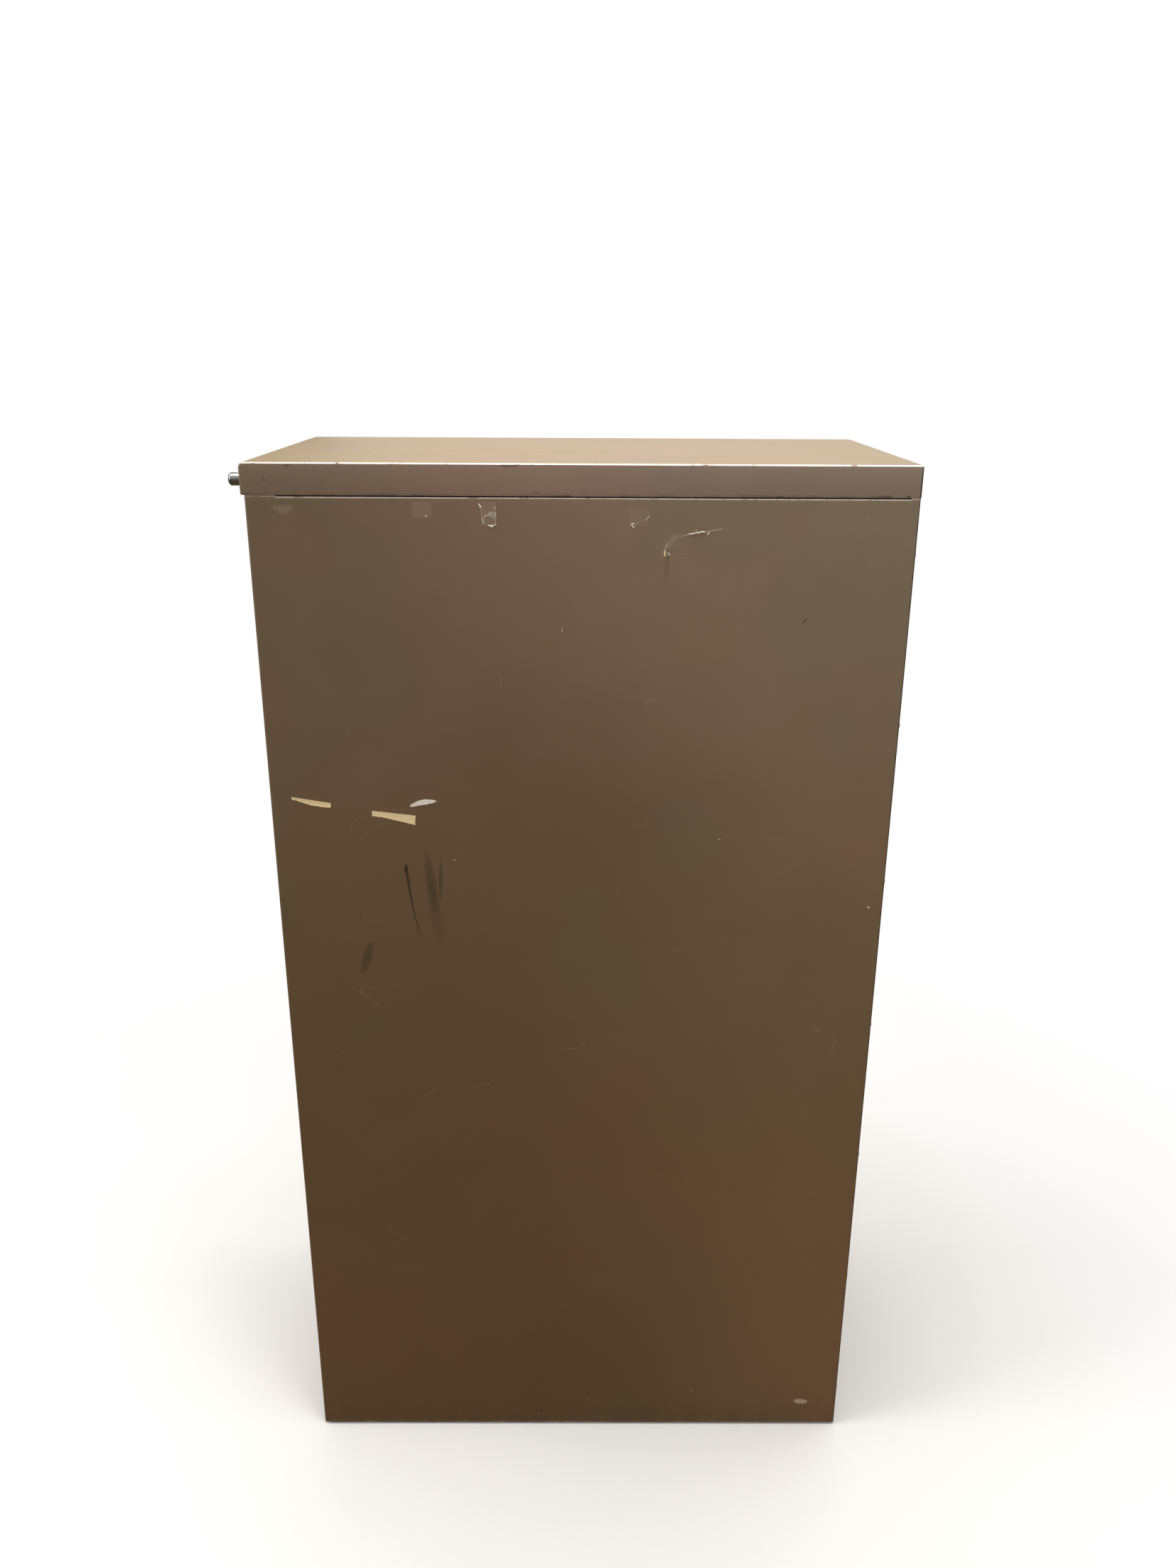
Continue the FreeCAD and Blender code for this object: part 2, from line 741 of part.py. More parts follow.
def make_bar_guides():
    """Three clips on the side panel that the bar slides in."""
    front = face_y + bar_front_inset
    back = front + bar_width
    gap = running_gap
    inner = bar_x - bar_thickness
    clips = []
    for drawer in (1, (drawer_count + 1) // 2, drawer_count):
        low = cell_z(drawer) + guide_rise
        clip = block(inner - gap - guide_lip, inner_x, front - gap - guide_wall,
                     back + gap + guide_wall, low, low + guide_height)
        channel = block(inner - gap, bar_x + gap, front - gap, back + gap,
                        low - cut_overrun, low + guide_height + cut_overrun)
        mouth = block(inner - gap - guide_lip - cut_overrun, inner, front + gap + guide_wall,
                      back - gap - guide_wall, low - cut_overrun, low + guide_height + cut_overrun)
        clips.append(clip.cut(channel).cut(mouth))
    return Part.makeCompound(clips)


# Assembly

def all_nodes():
    """Every sub-part of the cabinet under its own name."""
    side_panel = make_side_panel()
    nodes = {
        "side_panel_right": side_panel,
        "side_panel_left": mirrored(side_panel),
        "top_cap": make_top_cap(),
        "back_panel": make_back_panel(),
        "base_pan": make_base(),
        "levelling_glides": make_glides(),
        "slide_uprights": make_stanchions(),
        "case_slides": make_case_slides(),
        "lock_housing": make_lock_housing(),
        "lock_plunger": make_lock_plunger(),
        "lock_bar": make_lock_bar(),
        "lock_bar_guides": make_bar_guides(),
    }
    for drawer in range(1, drawer_count + 1):
        nodes["drawer_front_%d" % drawer] = make_front(drawer)
        nodes["drawer_tray_%d" % drawer] = make_tray(drawer)
        nodes["drawer_pull_%d" % drawer] = make_pull(drawer)
        nodes["middle_slides_%d" % drawer] = make_middle_slides(drawer)
        nodes["follower_left_%d" % drawer] = make_follower(drawer, -1)
        nodes["follower_right_%d" % drawer] = make_follower(drawer, 1)
    return nodes


def main():
    """Writes one file for each sub-part."""
    os.makedirs("parts", exist_ok=True)
    for name, shape in all_nodes().items():
        shape.exportStep("parts/%s.step" % name)


main()
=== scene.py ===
import json
import logging
import math
import random
from collections.abc import Callable, Iterable
from dataclasses import dataclass
from enum import Enum

import bmesh
import bpy
from mathutils import Matrix, Vector

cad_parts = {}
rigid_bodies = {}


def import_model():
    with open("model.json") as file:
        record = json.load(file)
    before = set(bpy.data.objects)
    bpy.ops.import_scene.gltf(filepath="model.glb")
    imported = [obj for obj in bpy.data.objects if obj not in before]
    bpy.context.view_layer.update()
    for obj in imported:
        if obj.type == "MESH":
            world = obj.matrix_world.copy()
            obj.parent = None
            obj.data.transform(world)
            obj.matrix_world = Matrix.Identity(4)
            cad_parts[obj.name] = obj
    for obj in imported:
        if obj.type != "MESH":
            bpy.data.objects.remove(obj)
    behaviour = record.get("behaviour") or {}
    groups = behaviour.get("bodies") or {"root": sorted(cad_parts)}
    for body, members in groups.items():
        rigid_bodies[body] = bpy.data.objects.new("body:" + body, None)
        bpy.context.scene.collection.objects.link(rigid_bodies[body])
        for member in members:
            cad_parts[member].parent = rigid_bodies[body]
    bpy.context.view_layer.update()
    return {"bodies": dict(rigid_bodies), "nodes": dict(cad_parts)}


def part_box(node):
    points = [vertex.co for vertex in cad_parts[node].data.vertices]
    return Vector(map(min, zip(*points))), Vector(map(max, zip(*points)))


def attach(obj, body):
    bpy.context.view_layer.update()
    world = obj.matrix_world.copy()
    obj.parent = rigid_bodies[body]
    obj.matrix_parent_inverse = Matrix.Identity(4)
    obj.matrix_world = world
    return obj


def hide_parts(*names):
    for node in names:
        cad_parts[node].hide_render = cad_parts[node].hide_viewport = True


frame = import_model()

LOG = logging.getLogger("cabinet")
MM = 0.001
WELD = 1e-7
CAD_WELD = 1e-6
FLAT_ANGLE = math.radians(0.5)
SHARP_ANGLE = math.radians(32)
SMOOTH_ANGLE = math.radians(35)
DRAWERS = sum(1 for name in frame["bodies"] if name.startswith("drawer_"))

Socket = bpy.types.NodeSocket
Colour = tuple[float, float, float]
Point = tuple[float, float, float]
Flat = tuple[float, float]
Inputs = dict[int | str, object]
Sockets = dict[str, Socket]


class Facing(Enum):
    """The way that the head of a fastener faces."""

    BACK = Vector((0, 1, 0))
    RIGHT = Vector((1, 0, 0))
    LEFT = Vector((-1, 0, 0))


class Graph:
    """A short way to add nodes to one tree and link them."""

    def __init__(self, tree: bpy.types.NodeTree) -> None:
        """Keeps the tree that the nodes go into."""
        self.tree = tree

    def add(self, kind: str, inputs: Inputs | None = None, **settings: object) -> bpy.types.Node:
        """Adds a node.

        Args:
            kind: the node's class name.
            inputs: what its inputs get, by their numbers or names.
            settings: attributes set on the node.

        Returns:
            The new node.
        """
        made = self.tree.nodes.new(kind)
        for name, value in settings.items():
            setattr(made, name, value)
        self.fill(made, inputs or {})
        return made

    def fill(self, node: bpy.types.Node, inputs: Inputs) -> None:
        """Feeds some of a node's inputs, given by their numbers or names."""
        for label, value in inputs.items():
            self.feed(node.inputs[label], value)

    def feed(self, socket: Socket, value: object) -> None:
        """Links a socket to an input, or sets its plain value.

        Args:
            socket: the input.
            value: a socket to link, or a plain value.
        """
        if isinstance(value, bpy.types.NodeSocket):
            self.tree.links.new(value, socket)
        elif isinstance(value, tuple) and len(value) == 3 and socket.type == "RGBA":
            socket.default_value = (*value, 1.0)
        else:
            socket.default_value = value

    def math(self, operation: str, *values: object, clamp: bool = False) -> Socket:
        """One arithmetic step; returns its result."""
        return self.add("ShaderNodeMath", dict(enumerate(values)), operation=operation,
                        use_clamp=clamp).outputs[0]

    def times(self, first: object, second: object, clamp: bool = False) -> Socket:
        """The product of two values."""
        return self.math("MULTIPLY", first, second, clamp=clamp)

    def plus(self, first: object, second: object, clamp: bool = False) -> Socket:
        """The sum of two values."""
        return self.math("ADD", first, second, clamp=clamp)

    def minus(self, first: object, second: object) -> Socket:
        """The first value less the second."""
        return self.math("SUBTRACT", first, second)

    def scaled(self, value: object, factor: object, offset: object) -> Socket:
        """A value times a factor, plus an offset."""
        return self.math("MULTIPLY_ADD", value, factor, offset)

    def vector(self, operation: str, *values: object) -> Socket:
        """One vector step; returns its vector."""
        return self.add("ShaderNodeVectorMath", dict(enumerate(values)),
                        operation=operation).outputs["Vector"]

    def split(self, vector: Socket) -> tuple[Socket, Socket, Socket]:
        """The three parts of a vector."""
        return tuple(self.add("ShaderNodeSeparateXYZ", {0: vector}).outputs)

    def join(self, x: object, y: object, z: object) -> Socket:
        """A vector from its three parts."""
        return self.add("ShaderNodeCombineXYZ", {0: x, 1: y, 2: z}).outputs[0]

    def upward(self) -> Socket:
        """How far the surface looks up: 1 on a level top, -1 underneath."""
        return self.split(self.add("ShaderNodeNewGeometry").outputs["Normal"])[2]

    def noise(self, place: Socket, scale: float, detail: float = 2.0,
              rough: float = 0.5) -> Socket:
        """Soft noise between 0 and 1."""
        return self.add("ShaderNodeTexNoise", {"Vector": place, "Scale": scale, "Detail": detail,
                                               "Roughness": rough}).outputs[0]

    def fade(self, value: object, start: object, end: object, low: object = 0.0,
             high: object = 1.0) -> Socket:
        """A smooth step of value from low at start to high at end."""
        return self.add("ShaderNodeMapRange", dict(enumerate((value, start, end, low, high))),
                        interpolation_type="SMOOTHSTEP").outputs[0]

    def blend(self, amount: object, first: object, second: object, how: str = "MIX") -> Socket:
        """A mix of two colours."""
        return self.add("ShaderNodeMix", {0: amount, 6: first, 7: second}, data_type="RGBA",
                        blend_type=how).outputs[2]

    def tint(self, colour: object, factor: object) -> Socket:
        """A colour multiplied by another."""
        return self.blend(1.0, colour, factor, "MULTIPLY")

    def shaded(self, colour: object, shade: Socket) -> Socket:
        """A colour made lighter or darker by one factor."""
        return self.tint(colour, self.join(shade, shade, shade))

    def place(self, group: bpy.types.NodeTree, **values: object) -> Sockets:
        """Places a shader group.

        Args:
            group: the group's tree.
            values: its inputs, by name.

        Returns:
            Its outputs by name.
        """
        return dict(self.add("ShaderNodeGroup", values, node_tree=group).outputs.items())


def shader_group(name: str, inputs: dict[str, object],
                 fill: Callable[[Graph, Sockets], Sockets]) -> bpy.types.NodeTree:
    """Builds a shader node group.

    Args:
        name: the group's name.
        inputs: each input's name and its starting value; three numbers make a vector.
        fill: adds the nodes and returns the value that each output gives.

    Returns:
        The group's tree.
    """
    tree = bpy.data.node_groups.new(name, "ShaderNodeTree")
    for label, value in inputs.items():
        kind = "NodeSocketVector" if isinstance(value, tuple) else "NodeSocketFloat"
        socket = tree.interface.new_socket(name=label, in_out="INPUT", socket_type=kind)
        socket.default_value = value
    graph = Graph(tree)
    entry = graph.add("NodeGroupInput")
    made = fill(graph, {socket.name: socket for socket in entry.outputs if socket.name})
    for label in made:
        tree.interface.new_socket(name=label, in_out="OUTPUT", socket_type="NodeSocketFloat")
    graph.add("NodeGroupOutput", made)
    return tree


def fill_orange_peel(g: Graph, i: Sockets) -> Sockets:
    """Fine dimples of sprayed enamel over a slow waviness of the sheet.

    Args:
        g: the group's graph.
        i: the group's inputs by name.

    Returns:
        The height of the relief.
    """
    peel = g.noise(i["Place"], i["Grain"], 2.0, 0.45)
    fine = g.noise(i["Place"], g.times(i["Grain"], 2.7), 1.0, 0.5)
    wave = g.noise(i["Place"], 3.2, 1.0, 0.4)
    both = g.plus(peel, g.times(fine, 0.35))
    return {"Height": g.plus(both, g.times(wave, i["Waviness"]))}


def fill_mottle(g: Graph, i: Sockets) -> Sockets:
    """Slow and middling changes of shade, and a grain that breaks up the gloss.

    Args:
        g: the group's graph.
        i: the group's inputs by name.

    Returns:
        The change of shade, the warmth and the smear.
    """
    slow = g.noise(i["Place"], i["Scale"], 3.0, 0.5)
    middle = g.noise(i["Place"], g.times(i["Scale"], 7.0), 3.0, 0.55)
    grain = g.noise(i["Place"], 900.0, 1.0, 0.6)
    mixed = g.plus(g.times(slow, 0.6), g.times(middle, 0.25))
    mixed = g.plus(mixed, g.times(grain, 0.15))
    return {"Shade": g.scaled(g.minus(mixed, 0.5), i["Amount"], 1.0),
            "Warmth": g.fade(slow, 0.38, 0.62), "Smear": g.fade(middle, 0.45, 0.7)}


def fill_edge_wear(g: Graph, i: Sockets) -> Sockets:
    """Where a boxy piece is rubbed: near two of its outer faces at once.

    Args:
        g: the group's graph.
        i: the group's inputs by name.

    Returns:
        The mask of bare metal, widened along a top edge to carry a painted highlight, and the halo around it.
    """
    from_low = g.vector("ABSOLUTE", g.vector("SUBTRACT", i["Place"], i["Low"]))
    from_high = g.vector("ABSOLUTE", g.vector("SUBTRACT", i["High"], i["Place"]))
    x, y, z = g.split(g.vector("MINIMUM", from_low, from_high))
    nearer = g.math("MINIMUM", x, y)
    further = g.math("MAXIMUM", x, y)
    second = g.math("MAXIMUM", nearer, g.math("MINIMUM", further, z))
    rough = g.noise(i["Place"], 70.0, 5.0, 0.7)
    patchy = g.noise(i["Place"], 9.0, 2.0, 0.5)
    share = g.times(g.fade(rough, 0.42, 0.75, 0.1, 1.6), g.fade(patchy, 0.4, 0.68, 0.25, 1.3))
    height = g.split(i["Place"])[2]
    top = g.split(i["High"])[2]
    # Along a top edge the worn band is widened: real wear and a painted highlight of the edge.
    top_highlight_band = g.times(i["Top"], g.fade(height, g.minus(top, 0.006), g.minus(top, 0.003)))
    share = g.math("MAXIMUM", share, g.times(top_highlight_band, g.fade(rough, 0.3, 0.45, 0.3, 1.5)))
    reach = g.times(i["Width"], share)
    mask = g.fade(second, reach, g.times(reach, 0.6))
    halo = g.fade(second, g.times(i["Width"], 7.0), 0.0)
    return {"Mask": g.times(mask, i["Amount"], clamp=True), "Halo": halo}


def fill_scratches(g: Graph, i: Sockets) -> Sockets:
    """Long thin lines, sparse and broken.

    Args:
        g: the group's graph.
        i: the group's inputs by name.

    Returns:
        The mask of the lines.
    """
    stretched = g.vector("MULTIPLY", i["Place"], i["Stretch"])
    field_value = g.noise(stretched, i["Scale"], 1.0, 0.4)
    line = g.fade(g.math("ABSOLUTE", g.minus(field_value, 0.5)), 0.0035, 0.0012)
    sparse = g.fade(g.noise(i["Place"], 14.0, 3.0, 0.6), 0.56, 0.66)
    return {"Mask": g.times(g.times(line, sparse), i["Amount"], clamp=True)}


def fill_settled_dirt(g: Graph, i: Sockets) -> Sockets:
    """Dust on faces that look up, and dirt that fades away from a level.

    Args:
        g: the group's graph.
        i: the group's inputs by name.

    Returns:
        The masks of the dust and the grime.
    """
    up = g.fade(g.upward(), 0.7, 0.98)
    speckle = g.noise(i["Place"], 260.0, 4.0, 0.75)
    drift = g.noise(i["Place"], 6.0, 3.0, 0.6)
    dust = g.times(up, g.times(g.fade(speckle, 0.35, 0.8), g.fade(drift, 0.3, 0.7, 0.35, 1.0)))
    rise = g.minus(g.split(i["Place"])[2], i["Level"])
    near = g.fade(rise, i["Reach"], 0.0)
    streak = g.noise(g.vector("MULTIPLY", i["Place"], (60.0, 60.0, 9.0)), 1.0, 4.0, 0.65)
    grime = g.times(near, g.fade(streak, 0.35, 0.7))
    return {"Dust": g.times(dust, i["Amount"], clamp=True),
            "Grime": g.times(grime, i["Amount"], clamp=True)}


def fill_brushing(g: Graph, i: Sockets) -> Sockets:
    """Rolling streaks of plated sheet, with patches where the plating is thin.

    Args:
        g: the group's graph.
        i: the group's inputs by name.

    Returns:
        The streak, the spangle and the stain.
    """
    stretched = g.vector("MULTIPLY", i["Place"], i["Stretch"])
    streak = g.noise(stretched, 1.0, 4.0, 0.6)
    spangle = g.noise(i["Place"], 45.0, 3.0, 0.6)
    stain = g.noise(i["Place"], 11.0, 4.0, 0.65)
    return {"Streak": streak, "Spangle": spangle, "Stain": g.fade(stain, 0.45, 0.75)}


def fill_soft_patch(g: Graph, i: Sockets) -> Sockets:
    """A rounded patch on the side: 1 inside its half sizes, fading over its softness.

    Args:
        g: the group's graph.
        i: the group's inputs by name.

    Returns:
        The mask of the patch.
    """
    u, v, _ = g.split(g.vector("SUBTRACT", i["Place"], i["Centre"]))
    cos, sin = g.math("COSINE", i["Turn"]), g.math("SINE", i["Turn"])
    along = g.plus(g.times(u, cos), g.times(v, sin))
    across = g.minus(g.times(v, cos), g.times(u, sin))
    half_u, half_v, _ = g.split(i["Half"])
    power = i["Squareness"]
    du = g.math("POWER", g.math("DIVIDE", g.math("ABSOLUTE", along), half_u), power)
    dv = g.math("POWER", g.math("DIVIDE", g.math("ABSOLUTE", across), half_v), power)
    distance = g.math("POWER", g.plus(du, dv), g.math("DIVIDE", 1.0, power))
    ragged = g.noise(i["Place"], i["Break"], 3.0, 0.6)
    distance = g.plus(distance, g.times(g.minus(ragged, 0.5), 0.5))
    return {"Mask": g.fade(distance, g.plus(1.0, i["Softness"]), 1.0)}


def fill_rub_line(g: Graph, i: Sockets) -> Sockets:
    """A thin bowed line that runs down the side and tapers.

    Args:
        g: the group's graph.
        i: the group's inputs by name.

    Returns:
        The mask of the line.
    """
    u, v, _ = g.split(g.vector("SUBTRACT", i["Place"], i["Start"]))
    share = g.math("DIVIDE", v, i["Length"])
    course = g.times(i["Lean"], share)
    bow = g.times(i["Bow"], g.times(share, g.minus(1.0, share)))
    offset = g.math("ABSOLUTE", g.minus(u, g.minus(course, bow)))
    width = g.fade(share, 0.0, 1.0, i["Width"], g.times(i["Width"], 0.3))
    line = g.fade(offset, width, g.times(width, 0.45))
    inside = g.times(g.fade(share, -0.02, 0.02), g.fade(share, 1.02, 0.9))
    return {"Mask": g.times(line, inside)}


def fill_cell_place(g: Graph, i: Sockets) -> Sockets:
    """The height within one drawer's cell, and the cell's number from the bottom.

    Args:
        g: the group's graph.
        i: the group's inputs by name.

    Returns:
        The height and the number.
    """
    z = g.split(i["Place"])[2]
    cells = g.math("DIVIDE", g.minus(z, i["Base"]), i["Pitch"])
    number = g.math("FLOOR", cells)
    return {"Height": g.times(g.minus(cells, number), i["Pitch"]), "Number": number}


class Effects:
    """The shader groups that several finishes share, each built once."""

    def __init__(self) -> None:
        """Builds every group."""
        origin = (0.0, 0.0, 0.0)
        self.peel = shader_group("orange_peel", {"Place": origin, "Grain": 420.0, "Waviness": 1.0},
                                 fill_orange_peel)
        self.mottle = shader_group("mottle", {"Place": origin, "Scale": 1.8, "Amount": 0.25},
                                   fill_mottle)
        self.wear = shader_group("edge_wear",
                                 {"Place": origin, "Low": origin, "High": origin, "Width": 0.0012,
                                  "Amount": 1.0, "Top": 0.0}, fill_edge_wear)
        self.scratches = shader_group("scratches",
                                      {"Place": origin, "Stretch": (1.0, 1.0, 1.0), "Scale": 6.0,
                                       "Amount": 0.5}, fill_scratches)
        self.dirt = shader_group("settled_dirt",
                                 {"Place": origin, "Level": 0.0, "Reach": 0.08, "Amount": 0.5},
                                 fill_settled_dirt)
        self.brushing = shader_group("brushing",
                                     {"Place": origin, "Stretch": (400.0, 12.0, 400.0)},
                                     fill_brushing)
        self.patch = shader_group("soft_patch",
                                  {"Place": origin, "Centre": origin, "Half": origin, "Turn": 0.0,
                                   "Squareness": 2.0, "Softness": 0.3, "Break": 0.3},
                                  fill_soft_patch)
        self.line = shader_group("rub_line",
                                 {"Place": origin, "Start": origin, "Length": 90.0, "Lean": 12.0,
                                  "Bow": 0.0, "Width": 1.5}, fill_rub_line)
        self.cell = shader_group("cell_place", {"Place": origin, "Base": 0.0, "Pitch": 0.15},
                                 fill_cell_place)


def surface(name: str) -> tuple[bpy.types.Material, Graph, bpy.types.Node, Socket]:
    """Starts a material.

    Args:
        name: the material's name.

    Returns:
        The material, its graph, its shader and the piece's own coordinates.
    """
    material = bpy.data.materials.new(name)
    material.use_nodes = True
    graph = Graph(material.node_tree)
    shader = material.node_tree.nodes["Principled BSDF"]
    place = graph.add("ShaderNodeTexCoord").outputs["Object"]
    return material, graph, shader, place


def bump(graph: Graph, shader: bpy.types.Node, height: Socket, depth: float,
         strength: float = 1.0) -> None:
    """Gives a shader its relief; depth is in metres for a height of 1."""
    made = graph.add("ShaderNodeBump", {"Strength": strength, "Distance": depth, "Height": height})
    graph.feed(shader.inputs["Normal"], made.outputs["Normal"])


@dataclass(frozen=True)
class SideMark:
    """One mark on the right side, in millimetres from the panel's front and top edges."""

    from_front: float
    from_top: float
    half_across: float
    half_down: float
    colour: Colour
    amount: float
    turn: float = 0.0
    squareness: float = 2.0
    softness: float = 0.5
    ragged: float = 0.25


RESIDUE: Colour = (0.30, 0.235, 0.185)
PALE: Colour = (0.62, 0.56, 0.45)
FILM: Colour = (0.42, 0.375, 0.32)
RUB: Colour = (0.028, 0.016, 0.006)
GRIME: Colour = (0.018, 0.012, 0.006)
RUB_LINE = {"Start": (153.0, 428.0, 0.0), "Length": 94.0, "Lean": 14.0, "Bow": 8.0, "Width": 1.9}
RUB_LINE_AMOUNT = 0.9
TAPE_SQUARENESS = 4.0
TAPE_GLOSS = 0.08

SIDE_MARKS = (SideMark(41.0, 13.6, 9.0, 2.6, RESIDUE, 0.30, squareness=3.0, softness=0.5),
              SideMark(41.0, 17.5, 4.5, 3.0, RESIDUE, 0.22, softness=0.8),
              SideMark(188.0, 14.4, 9.8, 7.8, RESIDUE, 0.34, squareness=9.0, softness=0.10),
              SideMark(192.5, 21.0, 0.9, 0.8, PALE, 0.8, softness=0.6, ragged=0.0),
              SideMark(259.3, 18.0, 7.8, 12.4, RESIDUE, 0.42, 0.05, 9.0, 0.08),
              SideMark(262.6, 18.9, 3.4, 2.2, FILM, 0.60, -0.15, 3.0, 0.5, 0.6),
              SideMark(264.8, 22.0, 1.8, 1.5, FILM, 0.40, 0.0, 2.0, 0.7, 0.5),
              SideMark(419.5, 21.0, 10.5, 9.2, RESIDUE, 0.30, squareness=9.0, softness=0.10),
              SideMark(417.4, 28.4, 1.8, 0.7, FILM, 0.45, -0.6, 2.0, 0.6, 0.4),
              SideMark(422.3, 25.2, 3.2, 0.8, RESIDUE, 0.45, -0.15, 2.0, 0.6, 0.5),
              SideMark(455.2, 47.0, 7.9, 2.9, RESIDUE, 0.55, -0.89, 3.0, 0.35),
              SideMark(463.8, 41.4, 4.4, 1.4, RESIDUE, 0.42, -0.18, 2.0, 0.7, 0.5),
              SideMark(503.0, 34.3, 8.0, 0.9, RESIDUE, 0.45, -0.20, 2.0, 0.8, 0.5),
              SideMark(485.2, 41.0, 6.5, 1.8, RUB, 0.13, -0.20, 2.0, 0.9, 0.6),
              SideMark(461.8, 60.9, 8.5, 0.4, RESIDUE, 0.38, -0.05, 2.0, 0.8, 0.3),
              SideMark(451.0, 70.0, 1.6, 11.0, RUB, 0.20, softness=1.2),
              SideMark(665.1, 2.4, 1.7, 0.8, GRIME, 0.85, 0.0, 2.0, 0.5, 0.4),
              SideMark(671.8, 2.2, 2.6, 0.5, GRIME, 0.6, 0.0, 2.0, 0.5, 0.4),
              SideMark(182.0, 450.0, 3.2, 22.0, RUB, 0.36, -0.10, 2.0, 1.3, 0.9),
              SideMark(193.0, 446.0, 1.2, 15.0, RUB, 0.46, 0.04, 2.0, 1.2, 0.8),
              SideMark(186.0, 488.0, 4.0, 20.0, RUB, 0.20, -0.15, 2.0, 1.5, 0.9),
              SideMark(100.5, 549.0, 3.6, 14.5, RUB, 0.42, 0.32, 2.0, 0.9, 0.7),
              SideMark(152.8, 432.0, 1.7, 5.0, RUB, 0.80, 0.05, 2.5, 0.4, 0.2),
              SideMark(337.6, 143.7, 0.5, 2.4, PALE, 0.6, 0.2, 2.0, 0.5, 0.0),
              SideMark(604.2, 133.1, 0.5, 3.2, RUB, 0.9, 0.7, 2.0, 0.5, 0.0),
              SideMark(521.4, 392.6, 0.8, 0.7, PALE, 0.9, 0.0, 2.0, 0.5, 0.0),
              SideMark(703.1, 479.7, 1.1, 1.3, PALE, 0.9, 0.3, 2.0, 0.5, 0.3),
              SideMark(210.3, 419.8, 0.7, 0.8, PALE, 0.7, 0.0, 2.0, 0.5, 0.0),
              SideMark(670.6, 1245.8, 7.5, 3.4, PALE, 0.55, 0.1, 2.0, 0.5, 0.5),
              SideMark(719.7, 640.0, 1.0, 660.0, GRIME, 0.85, 0.0, 9.0, 0.6, 0.05),
              SideMark(516.3, 1226.7, 1.0, 0.8, PALE, 0.6, 0.0, 2.0, 0.5, 0.0),
              SideMark(306.5, 1263.2, 2.2, 1.2, RUB, 0.8, 0.3, 2.0, 0.5, 0.3))

CAP_MARKS = (SideMark(723.7, 18.0, 1.0, 26.0, GRIME, 0.85, 0.0, 9.0, 0.6, 0.05),
             SideMark(687.6, 33.8, 3.2, 0.9, GRIME, 0.5, 0.0, 2.0, 0.6, 0.6),
             SideMark(680.9, 34.0, 2.0, 0.7, GRIME, 0.4, 0.0, 2.0, 0.6, 0.6),
             SideMark(710.5, 33.7, 1.9, 0.9, GRIME, 0.6, 0.0, 2.0, 0.6, 0.6),
             SideMark(285.9, 3.9, 7.0, 1.2, GRIME, 0.45, 0.0, 2.0, 0.6, 0.6),
             SideMark(314.6, 32.2, 2.2, 0.8, GRIME, 0.45, 0.0, 2.0, 0.6, 0.6),
             SideMark(347.7, 35.1, 3.0, 0.9, GRIME, 0.6, 0.0, 2.0, 0.6, 0.6),
             SideMark(52.2, 4.5, 3.0, 0.9, GRIME, 0.5, 0.0, 2.0, 0.6, 0.6),
             SideMark(573.1, 34.5, 4.0, 0.8, GRIME, 0.4, 0.0, 2.0, 0.6, 0.6),
             SideMark(26.7, 18.8, 1.1, 2.0, GRIME, 0.35, 0.0, 2.0, 0.6, 0.6))


